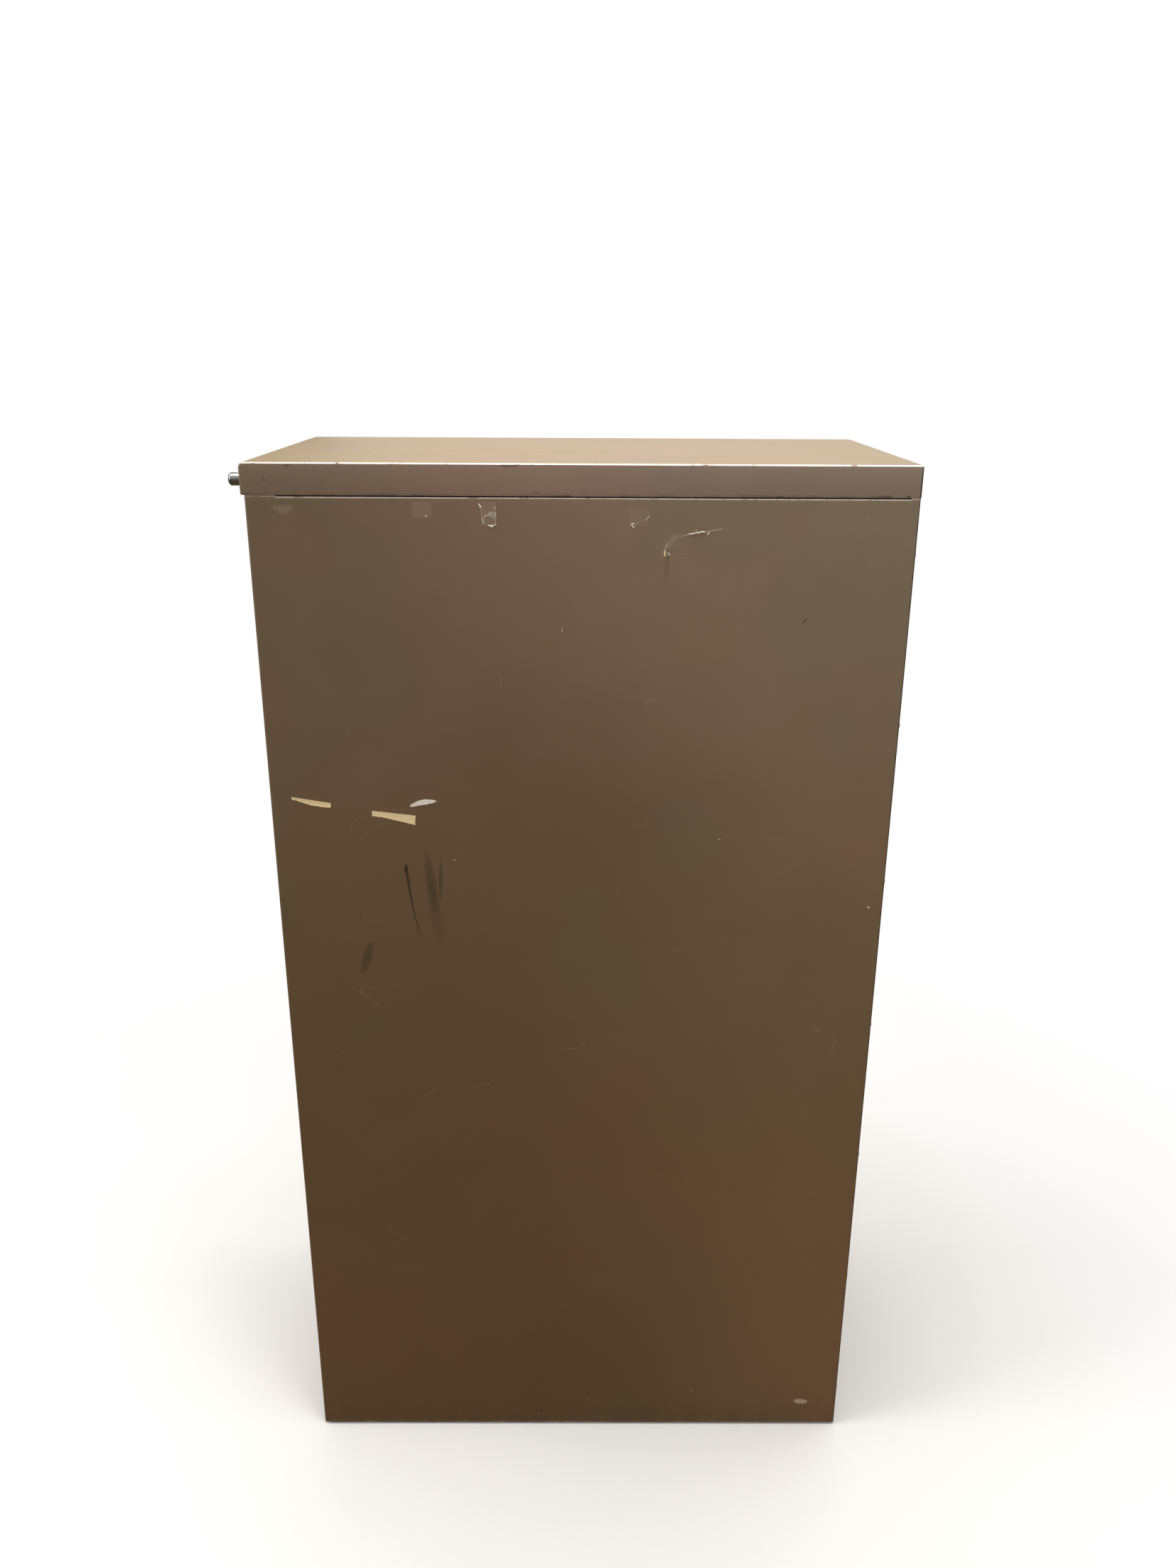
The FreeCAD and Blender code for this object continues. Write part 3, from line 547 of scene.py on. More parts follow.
@dataclass(frozen=True)
class Enamel:
    """Sprayed semi-gloss enamel on folded sheet steel, with painted light and shade in its colour.

    The box is the painted piece's own, so that its rubbed edges fall where it has edges.
    """

    name: str
    colour: Colour
    low: Point
    high: Point
    wear: float = 0.8
    wear_width: float = 0.0009
    dust: float = 0.35
    grime_level: float = 0.0
    grime_reach: float = 0.05
    gloss: float = 0.36
    pitch: float = 0.0
    cell_base: float = 0.0
    # Painted shade: low down the paint darkens towards this colour, between the two heights that follow.
    painted_shade: Colour = (0.120, 0.073, 0.035)
    painted_shade_below: float = 0.45
    painted_shade_above: float = 1.28
    # Painted light: to the rear, and more so high up, the paint is lightened by this tint.
    painted_light_tint: Colour = (1.36, 1.38, 1.50)
    painted_light_from: float = -0.08
    painted_light_to: float = 0.34
    painted_light_height: float = 0.95
    painted_light_height_share: float = 0.8
    # Painted highlight on worn edges: how strongly the whole top edge, or only the lip span that follows, gets
    # a wider, brighter worn band.
    top_edge: float = 0.0
    lip: tuple[float, float] = ()
    unworn: Point = (0.0, 0.0, 0.0)
    rubbed: bool = False
    # Painted light: how far up-facing faces are lightened, towards the colour given below.
    bleach: float = 0.0
    marks: tuple[SideMark, ...] = ()
    cool_patch: Colour = (0.96, 1.03, 0.98)
    warm_patch: Colour = (1.05, 0.97, 0.94)
    bleached: Colour = (0.290, 0.207, 0.110)
    grime_colour: Colour = (0.035, 0.026, 0.017)
    dust_colour: Colour = (0.46, 0.36, 0.24)
    scratch_colour: Colour = (0.34, 0.29, 0.23)
    halo_colour: Colour = (0.36, 0.30, 0.24)
    # Bare metal at worn edges; the second, brighter one is a painted highlight on top edges.
    bare_dull: Colour = (0.62, 0.57, 0.49)
    bare_highlight: Colour = (0.80, 0.75, 0.66)
    specular: float = 0.42
    cell_shift: float = 3.7
    relief: float = 0.00006

    def build(self, effects: Effects) -> bpy.types.Material:
        """Builds the paint.

        Args:
            effects: the shared shader groups.

        Returns:
            The material.
        """
        material, g, shader, place = surface(self.name)
        shade_place, wear_place = place, place
        if self.pitch:
            cell = g.place(effects.cell, Place=place, Base=self.cell_base, Pitch=self.pitch)
            x, y, z = g.split(place)
            wear_place = g.join(x, y, cell["Height"])
            shade_place = g.join(g.plus(x, g.times(cell["Number"], self.cell_shift)), y, z)
        mottle = g.place(effects.mottle, Place=shade_place, Scale=2.2, Amount=0.28)
        rough = g.scaled(mottle["Smear"], 0.05, self.gloss)
        colour, rough = self.top_light_and_soil(g, effects, place, self.tone(g, place, mottle), rough)
        if self.marks:
            colour, rough = self.add_marks(g, effects, place, colour, rough)
        lines = g.place(effects.scratches, Place=shade_place, Stretch=(3.0, 1.0, 2.2), Scale=9.0,
                        Amount=0.35)
        colour = g.blend(g.times(lines["Mask"], 0.5), colour, self.scratch_colour)
        # Along the top edge, or the lip under the cap, wear is widened and lightened: real wear with a painted
        # highlight of an edge catching overhead light.
        top = self.top_edge
        if self.lip:
            y = g.split(place)[1]
            start, end = self.lip
            top = g.times(g.fade(y, start - MM, start), g.fade(y, end + MM, end))
        wear = g.place(effects.wear, Place=wear_place,
                       Low=tuple(edge - spare for edge, spare in zip(self.low, self.unworn)),
                       High=tuple(edge + spare for edge, spare in zip(self.high, self.unworn)),
                       Width=self.wear_width, Amount=self.wear, Top=top)
        colour = g.blend(g.times(wear["Halo"], 0.10), colour, self.halo_colour)
        colour = g.blend(wear["Mask"], colour, g.blend(top, self.bare_dull, self.bare_highlight))
        g.fill(shader,
               {"Base Color": colour,
                "Roughness": g.plus(rough, g.times(wear["Mask"], 0.08), clamp=True),
                "Metallic": g.times(wear["Mask"], 0.55), "Specular IOR Level": self.specular})
        peel = g.place(effects.peel, Place=shade_place, Grain=430.0, Waviness=1.6)
        sunk = g.times(wear["Mask"], -1.5)
        bump(g, shader, g.plus(peel["Height"], sunk), self.relief, 0.9)
        return material

    def tone(self, g: Graph, place: Socket, mottle: Sockets) -> Socket:
        """The paint, with a painted shade low down and a painted sheen to the rear and high up, mottled.

        Args:
            g: the material's graph.
            place: the piece's own coordinates.
            mottle: the outputs of the mottle group.

        Returns:
            The colour.
        """
        _, y, z = g.split(place)
        drift = g.scaled(g.noise(place, 1.7, 3.0, 0.55), 0.5, -0.25)
        # Painted shade: darker low down.
        colour = g.blend(g.fade(g.plus(z, drift), self.painted_shade_below, self.painted_shade_above), self.painted_shade,
                         self.colour)
        colour = g.tint(colour, g.blend(mottle["Warmth"], self.cool_patch, self.warm_patch))
        # Painted light: a sheen that lightens the paint to the rear and high up.
        rise = g.math("MAXIMUM", g.minus(z, self.painted_light_height), 0.0)
        rearward = g.scaled(rise, self.painted_light_height_share, g.scaled(drift, 0.5, y))
        tint = g.blend(g.fade(rearward, self.painted_light_from, self.painted_light_to), (1.0, 1.0, 1.0),
                       self.painted_light_tint)
        return g.shaded(g.tint(colour, tint), mottle["Shade"])

    def top_light_and_soil(self, g: Graph, effects: Effects, place: Socket, colour: Socket,
             rough: Socket) -> tuple[Socket, Socket]:
        """Lightens up-facing faces with painted light, and lays grime and dust over the paint.

        Args:
            g: the material's graph.
            effects: the shared shader groups.
            place: the piece's own coordinates.
            colour: the paint's colour so far.
            rough: its roughness so far.

        Returns:
            The new colour and roughness.
        """
        # Painted light: up-facing faces are lightened in patches.
        if self.bleach:
            painted_top_light_mask = g.times(g.fade(g.upward(), 0.6, 0.95),
                            g.fade(g.noise(place, 4.0, 5.0, 0.65), 0.25, 0.6, 0.6, 1.0))
            colour = g.blend(g.times(painted_top_light_mask, self.bleach), colour, self.bleached)
        dirt = g.place(effects.dirt, Place=place, Level=self.grime_level, Reach=self.grime_reach,
                       Amount=self.dust)
        colour = g.blend(g.times(dirt["Grime"], 0.7), colour, self.grime_colour)
        colour = g.blend(g.times(dirt["Dust"], 0.55), colour, self.dust_colour)
        return colour, g.plus(rough, g.times(dirt["Dust"], 0.25))

    def add_marks(self, g: Graph, effects: Effects, place: Socket, colour: Socket,
                  rough: Socket) -> tuple[Socket, Socket]:
        """Lays the photographed marks over the paint.

        Args:
            g: the material's graph.
            effects: the shared shader groups.
            place: the piece's own coordinates.
            colour: the paint's colour so far.
            rough: its roughness so far.

        Returns:
            The new colour and roughness.
        """
        _, y, z = g.split(place)
        from_front = g.times(g.minus(y, self.low[1]), 1 / MM)
        from_top = g.plus(g.times(g.minus(self.high[2], z), 1 / MM), Finishes.seam_drop / MM)
        flat = g.join(from_front, from_top, 0.0)
        for mark in self.marks:
            centre = (mark.from_front, mark.from_top, 0.0)
            half = (mark.half_across, mark.half_down, 0.0)
            mask = g.place(effects.patch, Place=flat, Centre=centre, Half=half, Turn=mark.turn,
                           Squareness=mark.squareness, Softness=mark.softness,
                           Break=mark.ragged)["Mask"]
            colour = g.blend(g.times(mask, mark.amount), colour, mark.colour)
            if mark.squareness > TAPE_SQUARENESS:
                rough = g.scaled(mask, -TAPE_GLOSS, rough)
        if self.rubbed:
            line = g.place(effects.line, Place=flat, **RUB_LINE)["Mask"]
            colour = g.blend(g.times(line, RUB_LINE_AMOUNT), colour, RUB)
        return colour, rough


@dataclass(frozen=True)
class Plating:
    """Plated steel or bright metal, streaked along one axis."""

    name: str
    colour: Colour
    stain: Colour
    roughness: float = 0.3
    stretch: Point = (420.0, 14.0, 420.0)
    stain_amount: float = 0.35
    scratch: float = 0.5
    relief: float = 0.000012
    # Painted reflection: how far downward faces are darkened, towards the colour given below.
    dark_reflection_below: float = 0.0
    scratch_colour: Colour = (0.85, 0.84, 0.82)
    dark_reflection_colour: Colour = (0.05, 0.05, 0.035)

    def build(self, effects: Effects) -> bpy.types.Material:
        """Builds the metal.

        Args:
            effects: the shared shader groups.

        Returns:
            The material.
        """
        material, g, shader, place = surface(self.name)
        brushing = g.place(effects.brushing, Place=place, Stretch=self.stretch)
        colour = g.shaded(self.colour, g.fade(brushing["Streak"], 0.25, 0.75, 0.84, 1.08))
        stain = g.times(brushing["Stain"], self.stain_amount)
        colour = g.blend(stain, colour, self.stain)
        lines = g.place(effects.scratches, Place=place, Stretch=(2.0, 1.0, 2.0), Scale=26.0,
                        Amount=self.scratch)
        colour = g.blend(g.times(lines["Mask"], 0.5), colour, self.scratch_colour)
        rough = g.scaled(brushing["Spangle"], 0.14, self.roughness - 0.05)
        # Painted reflection: downward faces are darkened, standing in for chrome reflecting a dark room.
        if self.dark_reflection_below:
            dark_reflection = g.times(g.fade(g.upward(), 0.25, -0.35), self.dark_reflection_below)
            colour = g.blend(dark_reflection, colour, self.dark_reflection_colour)
        g.fill(shader,
               {"Base Color": colour, "Roughness": g.plus(rough, g.times(stain, 0.35), clamp=True),
                "Metallic": g.fade(stain, 0.2, 1.0, 1.0, 0.7)})
        relief = g.minus(brushing["Streak"], lines["Mask"])
        bump(g, shader, relief, self.relief)
        return material


@dataclass(frozen=True)
class Soft:
    """Tape, paper, nylon or rubber: a matt body with fibres or creases."""

    name: str
    colour: Colour
    shade: Colour
    roughness: float
    fibre: Point
    depth: float
    gloss: float = 0.3
    rule_gap: float = 0.0
    rule_colour: Colour = (0.24, 0.33, 0.45)

    def build(self, effects: Effects) -> bpy.types.Material:
        """Builds the finish.

        Args:
            effects: the shared shader groups.

        Returns:
            The material.
        """
        material, g, shader, place = surface(self.name)
        fibre = g.noise(g.vector("MULTIPLY", place, self.fibre), 1.0, 5.0, 0.6)
        blotch = g.place(effects.mottle, Place=place, Scale=30.0, Amount=0.3)
        mixed = g.fade(fibre, 0.3, 0.7)
        colour = g.blend(g.times(mixed, 0.7), self.colour, self.shade)
        colour = g.shaded(colour, blotch["Shade"])
        if self.rule_gap:
            height = g.math("DIVIDE", g.split(place)[2], self.rule_gap)
            beside = g.math("ABSOLUTE", g.minus(g.math("FRACT", height), 0.5))
            printed = g.times(g.fade(beside, 0.035, 0.02), g.fade(fibre, 0.2, 0.5))
            colour = g.blend(g.times(printed, 0.6), colour, self.rule_colour)
        g.fill(shader,
               {"Base Color": colour, "Specular IOR Level": self.gloss,
                "Roughness": g.scaled(mixed, 0.12, self.roughness)})
        bump(g, shader, fibre, self.depth)
        return material


class Finishes:
    """Every finish on the cabinet, worked out from the places of its pieces."""

    seam_drop = 1.2 * MM
    lip_front = 33 * MM
    lip_back = 10 * MM
    below_cap = 0.1
    upright_edges: Point = (0.0, 0.1, 0.0)
    rules_per_cell = 24
    paint: Colour = (0.160, 0.117, 0.078)
    # The cap's paint is the side's paint made lighter: a painted sheen on the cap.
    cap_sheen_paint: Colour = (0.197, 0.149, 0.111)
    # Painted shade: the trays and the uprights inside the case take darker copies of the paint.
    tray_painted_shade = 0.92
    inner_painted_shade = 0.9

    def __init__(self, effects: Effects) -> None:
        """Builds the materials.

        Args:
            effects: the shared shader groups.
        """
        self.effects = effects
        side_low, side_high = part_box("side_panel_right")
        cap_low, cap_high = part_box("top_cap")
        front_low, front_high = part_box("drawer_front_%d" % DRAWERS)
        next_low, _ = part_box("drawer_front_%d" % (DRAWERS - 1))
        pitch = next_low.z - front_low.z
        cell_base = front_low.z - (next_low.z - front_high.z) / 2
        to_cell = Vector((0, 0, -cell_base))
        self.side = self.enamel("side", side_low, side_high - Vector((0, 0, self.seam_drop)),
                                lip=(side_low.y + self.lip_front, side_high.y - self.lip_back),
                                unworn=self.upright_edges, marks=SIDE_MARKS, rubbed=True)
        self.left = self.enamel("left_side", *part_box("side_panel_left"))
        self.cap = self.enamel("cap", cap_low - Vector((0, 0, self.below_cap)), cap_high,
                               colour=self.cap_sheen_paint, wear=0.95, wear_width=0.0012, top_edge=1.0,
                               bleach=0.75, dust=0.6, grime_level=cap_low.z, grime_reach=0.004,
                               unworn=self.upright_edges, marks=CAP_MARKS)
        self.front = self.enamel("front", front_low + to_cell, front_high + to_cell, pitch=pitch,
                                 cell_base=cell_base, dust=0.3)
        self.back = self.enamel("back", *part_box("back_panel"), wear=0.4, dust=0.3, gloss=0.45)
        self.base = self.enamel("base", *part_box("base_pan"), dust=0.7, grime_reach=0.06)
        tray_low, tray_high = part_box("drawer_tray_%d" % DRAWERS)
        self.tray = self.enamel("tray", tray_low + to_cell, tray_high + to_cell, pitch=pitch,
                                colour=tuple(c * self.tray_painted_shade for c in self.paint),
                                cell_base=cell_base, wear=0.5, dust=0.4, gloss=0.42)
        self.inner = self.enamel("inner", side_low, side_high, wear=0.0, dust=0.3, gloss=0.5,
                                 colour=tuple(c * self.inner_painted_shade for c in self.paint))
        self.zinc = Plating("zinc_plate", (0.60, 0.60, 0.58), (0.33, 0.29, 0.22), 0.33,
                            stain_amount=0.4).build(effects)
        self.follower = Plating("follower_plate", (0.56, 0.56, 0.55), (0.35, 0.32, 0.27), 0.38,
                                stretch=(14.0, 420.0, 420.0)).build(effects)
        self.chrome = Plating("lock_chrome", (0.82, 0.81, 0.80), (0.45, 0.42, 0.37), 0.10,
                              stretch=(300.0, 300.0, 300.0), stain_amount=0.2, scratch=0.8,
                              relief=0.000006, dark_reflection_below=0.92).build(effects)
        self.pull = Plating("pull_chrome", (0.70, 0.69, 0.67), (0.38, 0.35, 0.30), 0.20,
                            stretch=(12.0, 380.0, 380.0), stain_amount=0.25,
                            scratch=0.6).build(effects)
        self.glide = Plating("glide_zinc", (0.50, 0.50, 0.49), (0.20, 0.17, 0.13), 0.42,
                             stretch=(120.0, 120.0, 60.0), stain_amount=0.6).build(effects)
        self.tape = Soft("masking_tape", (0.90, 0.76, 0.46), (0.78, 0.62, 0.34), 0.75,
                         (260.0, 3000.0, 900.0), 0.00010).build(effects)
        # Painted highlight: white stands in for light caught by lifted edges of clear tape.
        self.white_highlight_tape = self.clear_tape("white", (0.95, 0.92, 0.85), (0.80, 0.75, 0.66))
        self.film_tape = self.clear_tape("film", (0.58, 0.52, 0.45), (0.46, 0.41, 0.35))
        self.amber_tape = self.clear_tape("amber", (0.80, 0.70, 0.36), (0.66, 0.52, 0.24), 0.35)
        self.card = Soft("label_card", (0.74, 0.71, 0.62), (0.68, 0.64, 0.54), 0.85,
                         (900.0, 900.0, 1600.0), 0.00002, 0.2,
                         rule_gap=pitch / self.rules_per_cell).build(effects)

    def enamel(self, name: str, low: Vector, high: Vector, **look: object) -> bpy.types.Material:
        """Builds enamel.

        Args:
            name: the painted piece, in short.
            low: the lowest corner of its box.
            high: the highest corner of its box.
            look: other fields of the enamel.

        Returns:
            The material.
        """
        return Enamel(**{"name": name + "_enamel", "colour": self.paint, "low": tuple(low),
                         "high": tuple(high), **look}).build(self.effects)

    def clear_tape(self, kind: str, colour: Colour, shade: Colour,
                   roughness: float = 0.40) -> bpy.types.Material:
        """Builds the finish of clear tape: aged film or amber, or white as a painted highlight of lifted
        edges.
        """
        return Soft("clear_tape_" + kind, colour, shade, roughness, (600.0, 700.0, 500.0), 0.00012,
                    0.5).build(self.effects)


def dress(nodes: Iterable[str], material: bpy.types.Material) -> None:
    """Gives CAD nodes a finish, in their objects' material slots.

    Args:
        nodes: the nodes' names.
        material: their finish.
    """
    for name in nodes:
        node = frame["nodes"][name]
        if not node.material_slots:
            node.data.materials.append(material)
        for slot in node.material_slots:
            slot.material = material


def link_new(name: str, data: bpy.types.ID) -> bpy.types.Object:
    """Makes an object from a mesh, lamp or camera and links it into the scene.

    Args:
        name: the object's name.
        data: its mesh, lamp or camera.

    Returns:
        The object.
    """
    made = bpy.data.objects.new(name, data)
    bpy.context.scene.collection.objects.link(made)
    return made


def finish_piece(name: str, mesh: bpy.types.Mesh, material: bpy.types.Material, body: str) -> bpy.types.Object:
    """Makes a mesh a piece of the cabinet.

    Args:
        name: the piece's name.
        mesh: its mesh, in place.
        material: its finish.
        body: the CAD body it rides on.

    Returns:
        The piece.
    """
    piece = link_new(name, mesh)
    mesh.materials.clear()
    mesh.materials.append(material)
    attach(piece, body)
    return piece


def mesh_from(name: str, work: bmesh.types.BMesh) -> bpy.types.Mesh:
    """Turns a working mesh into a plain one with its faces outwards.

    Args:
        name: the plain mesh's name.
        work: the working mesh, which is freed.

    Returns:
        The plain mesh.
    """
    bmesh.ops.remove_doubles(work, verts=work.verts, dist=WELD)
    bmesh.ops.recalc_face_normals(work, faces=work.faces)
    mesh = bpy.data.meshes.new(name)
    work.to_mesh(mesh)
    work.free()
    return mesh


def smooth_by_angle(mesh: bpy.types.Mesh, angle: float = SMOOTH_ANGLE) -> None:
    """Shades a mesh smooth, with sharp edges where it turns by more than an angle.

    Args:
        mesh: the mesh.
        angle: the turn from which an edge is sharp, in radians.
    """
    work = bmesh.new()
    work.from_mesh(mesh)
    for face in work.faces:
        face.smooth = True
    for edge in work.edges:
        edge.smooth = len(edge.link_faces) == 2 and edge.calc_face_angle(0.0) < angle
    work.to_mesh(mesh)
    work.free()


def loft(work: bmesh.types.BMesh,
         rings: list[list[bmesh.types.BMVert]]) -> list[bmesh.types.BMFace]:
    """Joins rings of vertices by faces; a ring of one vertex is a pole.

    Args:
        work: the working mesh.
        rings: the rings, from one end to the other.

    Returns:
        The faces that close the ends, where these aren't poles.
    """
    for first, second in zip(rings, rings[1:]):
        for step in range(max(len(first), len(second))):
            corners = (first[step % len(first)], first[(step + 1) % len(first)],
                       second[(step + 1) % len(second)], second[step % len(second)])
            corners = list(dict.fromkeys(corners))
            if len(corners) > 2:
                work.faces.new(corners)
    return [work.faces.new(end) for end in (rings[0], rings[-1]) if len(end) > 2]


def turned(work: bmesh.types.BMesh, profile: Iterable[Flat], axis: Vector, steps: int) -> None:
    """Adds a closed turned shape around the origin.

    Args:
        work: the working mesh.
        profile: distance along the axis and radius, from one end to the other.
        axis: the axis's direction.
        steps: how many sides it has.
    """
    side = axis.orthogonal().normalized()
    other = axis.cross(side)
    rings = []
    for along, radius in profile:
        turns = [2 * math.pi * step / steps for step in range(steps if radius else 1)]
        rings.append([work.verts.new(axis * along
                                     + (side * math.cos(turn) + other * math.sin(turn)) * radius)
                      for turn in turns])
    loft(work, rings)


def soften(node: str, material: bpy.types.Material, width: float) -> bpy.types.Object:
    """Puts a copy with softened edges in the place of a CAD node.

    Args:
        node: the CAD node's name.
        material: the copy's finish.
        width: how wide the softened edges are, in metres.

    Returns:
        The copy.
    """
    source = frame["nodes"][node]
    work = bmesh.new()
    work.from_mesh(source.data)
    bmesh.ops.remove_doubles(work, verts=work.verts, dist=CAD_WELD)
    bmesh.ops.recalc_face_normals(work, faces=work.faces)
    bmesh.ops.dissolve_limit(work, angle_limit=FLAT_ANGLE, verts=work.verts, edges=work.edges)
    sharp = [edge for edge in work.edges if len(edge.link_faces) == 2
             and edge.calc_face_angle(0.0) > SHARP_ANGLE]
    bmesh.ops.bevel(work, geom=sharp, offset=width, segments=2, profile=0.6, affect="EDGES",
                    clamp_overlap=True)
    bmesh.ops.triangulate(work, faces=work.faces)
    mesh = bpy.data.meshes.new(node + "_finished")
    work.to_mesh(mesh)
    work.free()
    smooth_by_angle(mesh)
    body = source.parent.name.removeprefix("body:")
    piece = finish_piece(node + "_finished", mesh, material, body)
    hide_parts(node)
    return piece


class Rows:
    """Geometry nodes that set copies of one small piece in rows and columns."""

    def __init__(self) -> None:
        """Builds the node tree."""
        tree = bpy.data.node_groups.new("rows_of_pieces", "GeometryNodeTree")
        self.tree = tree
        self.sockets: dict[str, str] = {}
        for name, kind in (("Piece", "Object"), ("Finish", "Material"), ("Start", "Vector"),
                           ("Column Step", "Vector"), ("Columns", "Int"), ("Row Step", "Vector"),
                           ("Rows", "Int"), ("Spin Axis", "Vector"), ("Seed", "Int")):
            socket = tree.interface.new_socket(name=name, in_out="INPUT",
                                               socket_type="NodeSocket" + kind)
            self.sockets[name] = socket.identifier
        tree.interface.new_socket(name="Geometry", in_out="OUTPUT",
                                  socket_type="NodeSocketGeometry")
        g = Graph(tree)
        entry = g.add("NodeGroupInput").outputs
        column = g.add("GeometryNodeMeshLine",
                       {"Count": entry["Columns"], "Start Location": entry["Start"],
                        "Offset": entry["Column Step"]}, mode="OFFSET")
        row = g.add("GeometryNodeMeshLine", {"Count": entry["Rows"], "Offset": entry["Row Step"]},
                    mode="OFFSET")
        spread = g.add("GeometryNodeInstanceOnPoints",
                       {"Points": column.outputs[0], "Instance": row.outputs[0]})
        points = g.add("GeometryNodeRealizeInstances", {0: spread.outputs[0]})
        piece = g.add("GeometryNodeObjectInfo", {"Object": entry["Piece"]})
        spin = g.add("FunctionNodeRandomValue", {3: 2 * math.pi, "Seed": entry["Seed"]},
                     data_type="FLOAT")
        turn = g.add("ShaderNodeVectorMath", {0: entry["Spin Axis"], "Scale": spin.outputs[1]},
                     operation="SCALE")
        copies = g.add("GeometryNodeInstanceOnPoints",
                       {"Points": points.outputs[0], "Instance": piece.outputs["Geometry"],
                        "Rotation": turn.outputs[0]})
        real = g.add("GeometryNodeRealizeInstances", {0: copies.outputs[0]})
        coat = g.add("GeometryNodeSetMaterial",
                     {"Geometry": real.outputs[0], "Material": entry["Finish"]})
        g.add("NodeGroupOutput", {0: coat.outputs[0]})

    def lay(self, name: str, head: bpy.types.Mesh, material: bpy.types.Material,
            **settings: object) -> bpy.types.Mesh:
        """Lays the copies out.

        Args:
            name: the name of the result.
            head: the mesh that is repeated, around the origin.
            material: its finish.
            settings: the tree's other inputs, with underscores for spaces.

        Returns:
            One plain mesh of all the copies.
        """
        single = link_new(name + "_single", head)
        holder = link_new(name + "_rows", bpy.data.meshes.new(name + "_rows"))
        modifier = holder.modifiers.new("rows", "NODES")
        modifier.node_group = self.tree
        modifier[self.sockets["Piece"]] = single
        modifier[self.sockets["Finish"]] = material
        for label, value in settings.items():
            modifier[self.sockets[label.replace("_", " ")]] = value
        graph = bpy.context.evaluated_depsgraph_get()
        mesh = bpy.data.meshes.new_from_object(holder.evaluated_get(graph), depsgraph=graph)
        mesh.name = name
        holder.modifiers.remove(modifier)
        bpy.data.objects.remove(holder)
        bpy.data.objects.remove(single)
        return mesh


class Heads:
    """The heads of the fasteners: turned shapes around the origin.

    The profiles give the distance along the axis and the radius as shares of the head's radius.
    """

    dome_rise = 0.42
    dome_steps = 6
    dome_foot = 0.16
    rivet_sides = 20
    washer = ((0.0, 0.0), (0.0, 1.25), (0.08, 1.25), (0.12, 1.18), (0.12, 0.0))
    washer_sides = 24
    hexagon = ((0.12, 1.0), (0.32, 1.0), (0.4, 0.88))

    @staticmethod
    def rivet(facing: Facing, radius: float) -> bpy.types.Mesh:
        """A low domed rivet head with a small dimple.

        Args:
            facing: the way it faces.
            radius: its radius, in metres.

        Returns:
            The mesh.
        """
        rise = radius * Heads.dome_rise
        foot = Heads.dome_foot
        profile = [(0.0, 0.0), (0.0, radius * 0.96), (rise * foot, radius)]
        for step in range(1, Heads.dome_steps):
            angle = math.pi / 2 * step / Heads.dome_steps
            profile.append((rise * (foot + (1 - foot) * math.sin(angle)),
                            radius * math.cos(angle)))
        profile += [(rise, radius * 0.2), (rise * 0.86, radius * 0.1), (rise * 0.8, 0.0)]
        return Heads.finish("rivet_head", facing, ((profile, Heads.rivet_sides),), 50)

    @staticmethod
    def screw(facing: Facing, radius: float) -> bpy.types.Mesh:
        """A hexagon sheet-metal screw head on its washer face.

        Args:
            facing: the way it faces.
            radius: its radius, in metres.

        Returns:
            The mesh.
        """
        shapes = [([(along * radius, spread * radius) for along, spread in profile], sides)
                  for profile, sides in ((Heads.washer, Heads.washer_sides), (Heads.hexagon, 6))]
        return Heads.finish("screw_head", facing, shapes, 30)

    @staticmethod
    def finish(name: str, facing: Facing, shapes: Iterable[tuple[list[Flat], int]],
               smooth_below: float) -> bpy.types.Mesh:
        """Turns a head.

        Args:
            name: the name of the mesh.
            facing: the way it faces.
            shapes: each turned shape's profile and how many sides it has.
            smooth_below: the angle in degrees below which its edges are smooth.

        Returns:
            The mesh.
        """
        work = bmesh.new()
        for profile, sides in shapes:
            turned(work, profile, facing.value, sides)
        mesh = mesh_from(name, work)
        smooth_by_angle(mesh, math.radians(smooth_below))
        return mesh


@dataclass(frozen=True)
class Lamp:
    """A square soft lamp that looks at a target; its power is in watts."""

    name: str
    spot: Point
    target: Point
    size: float
    power: float


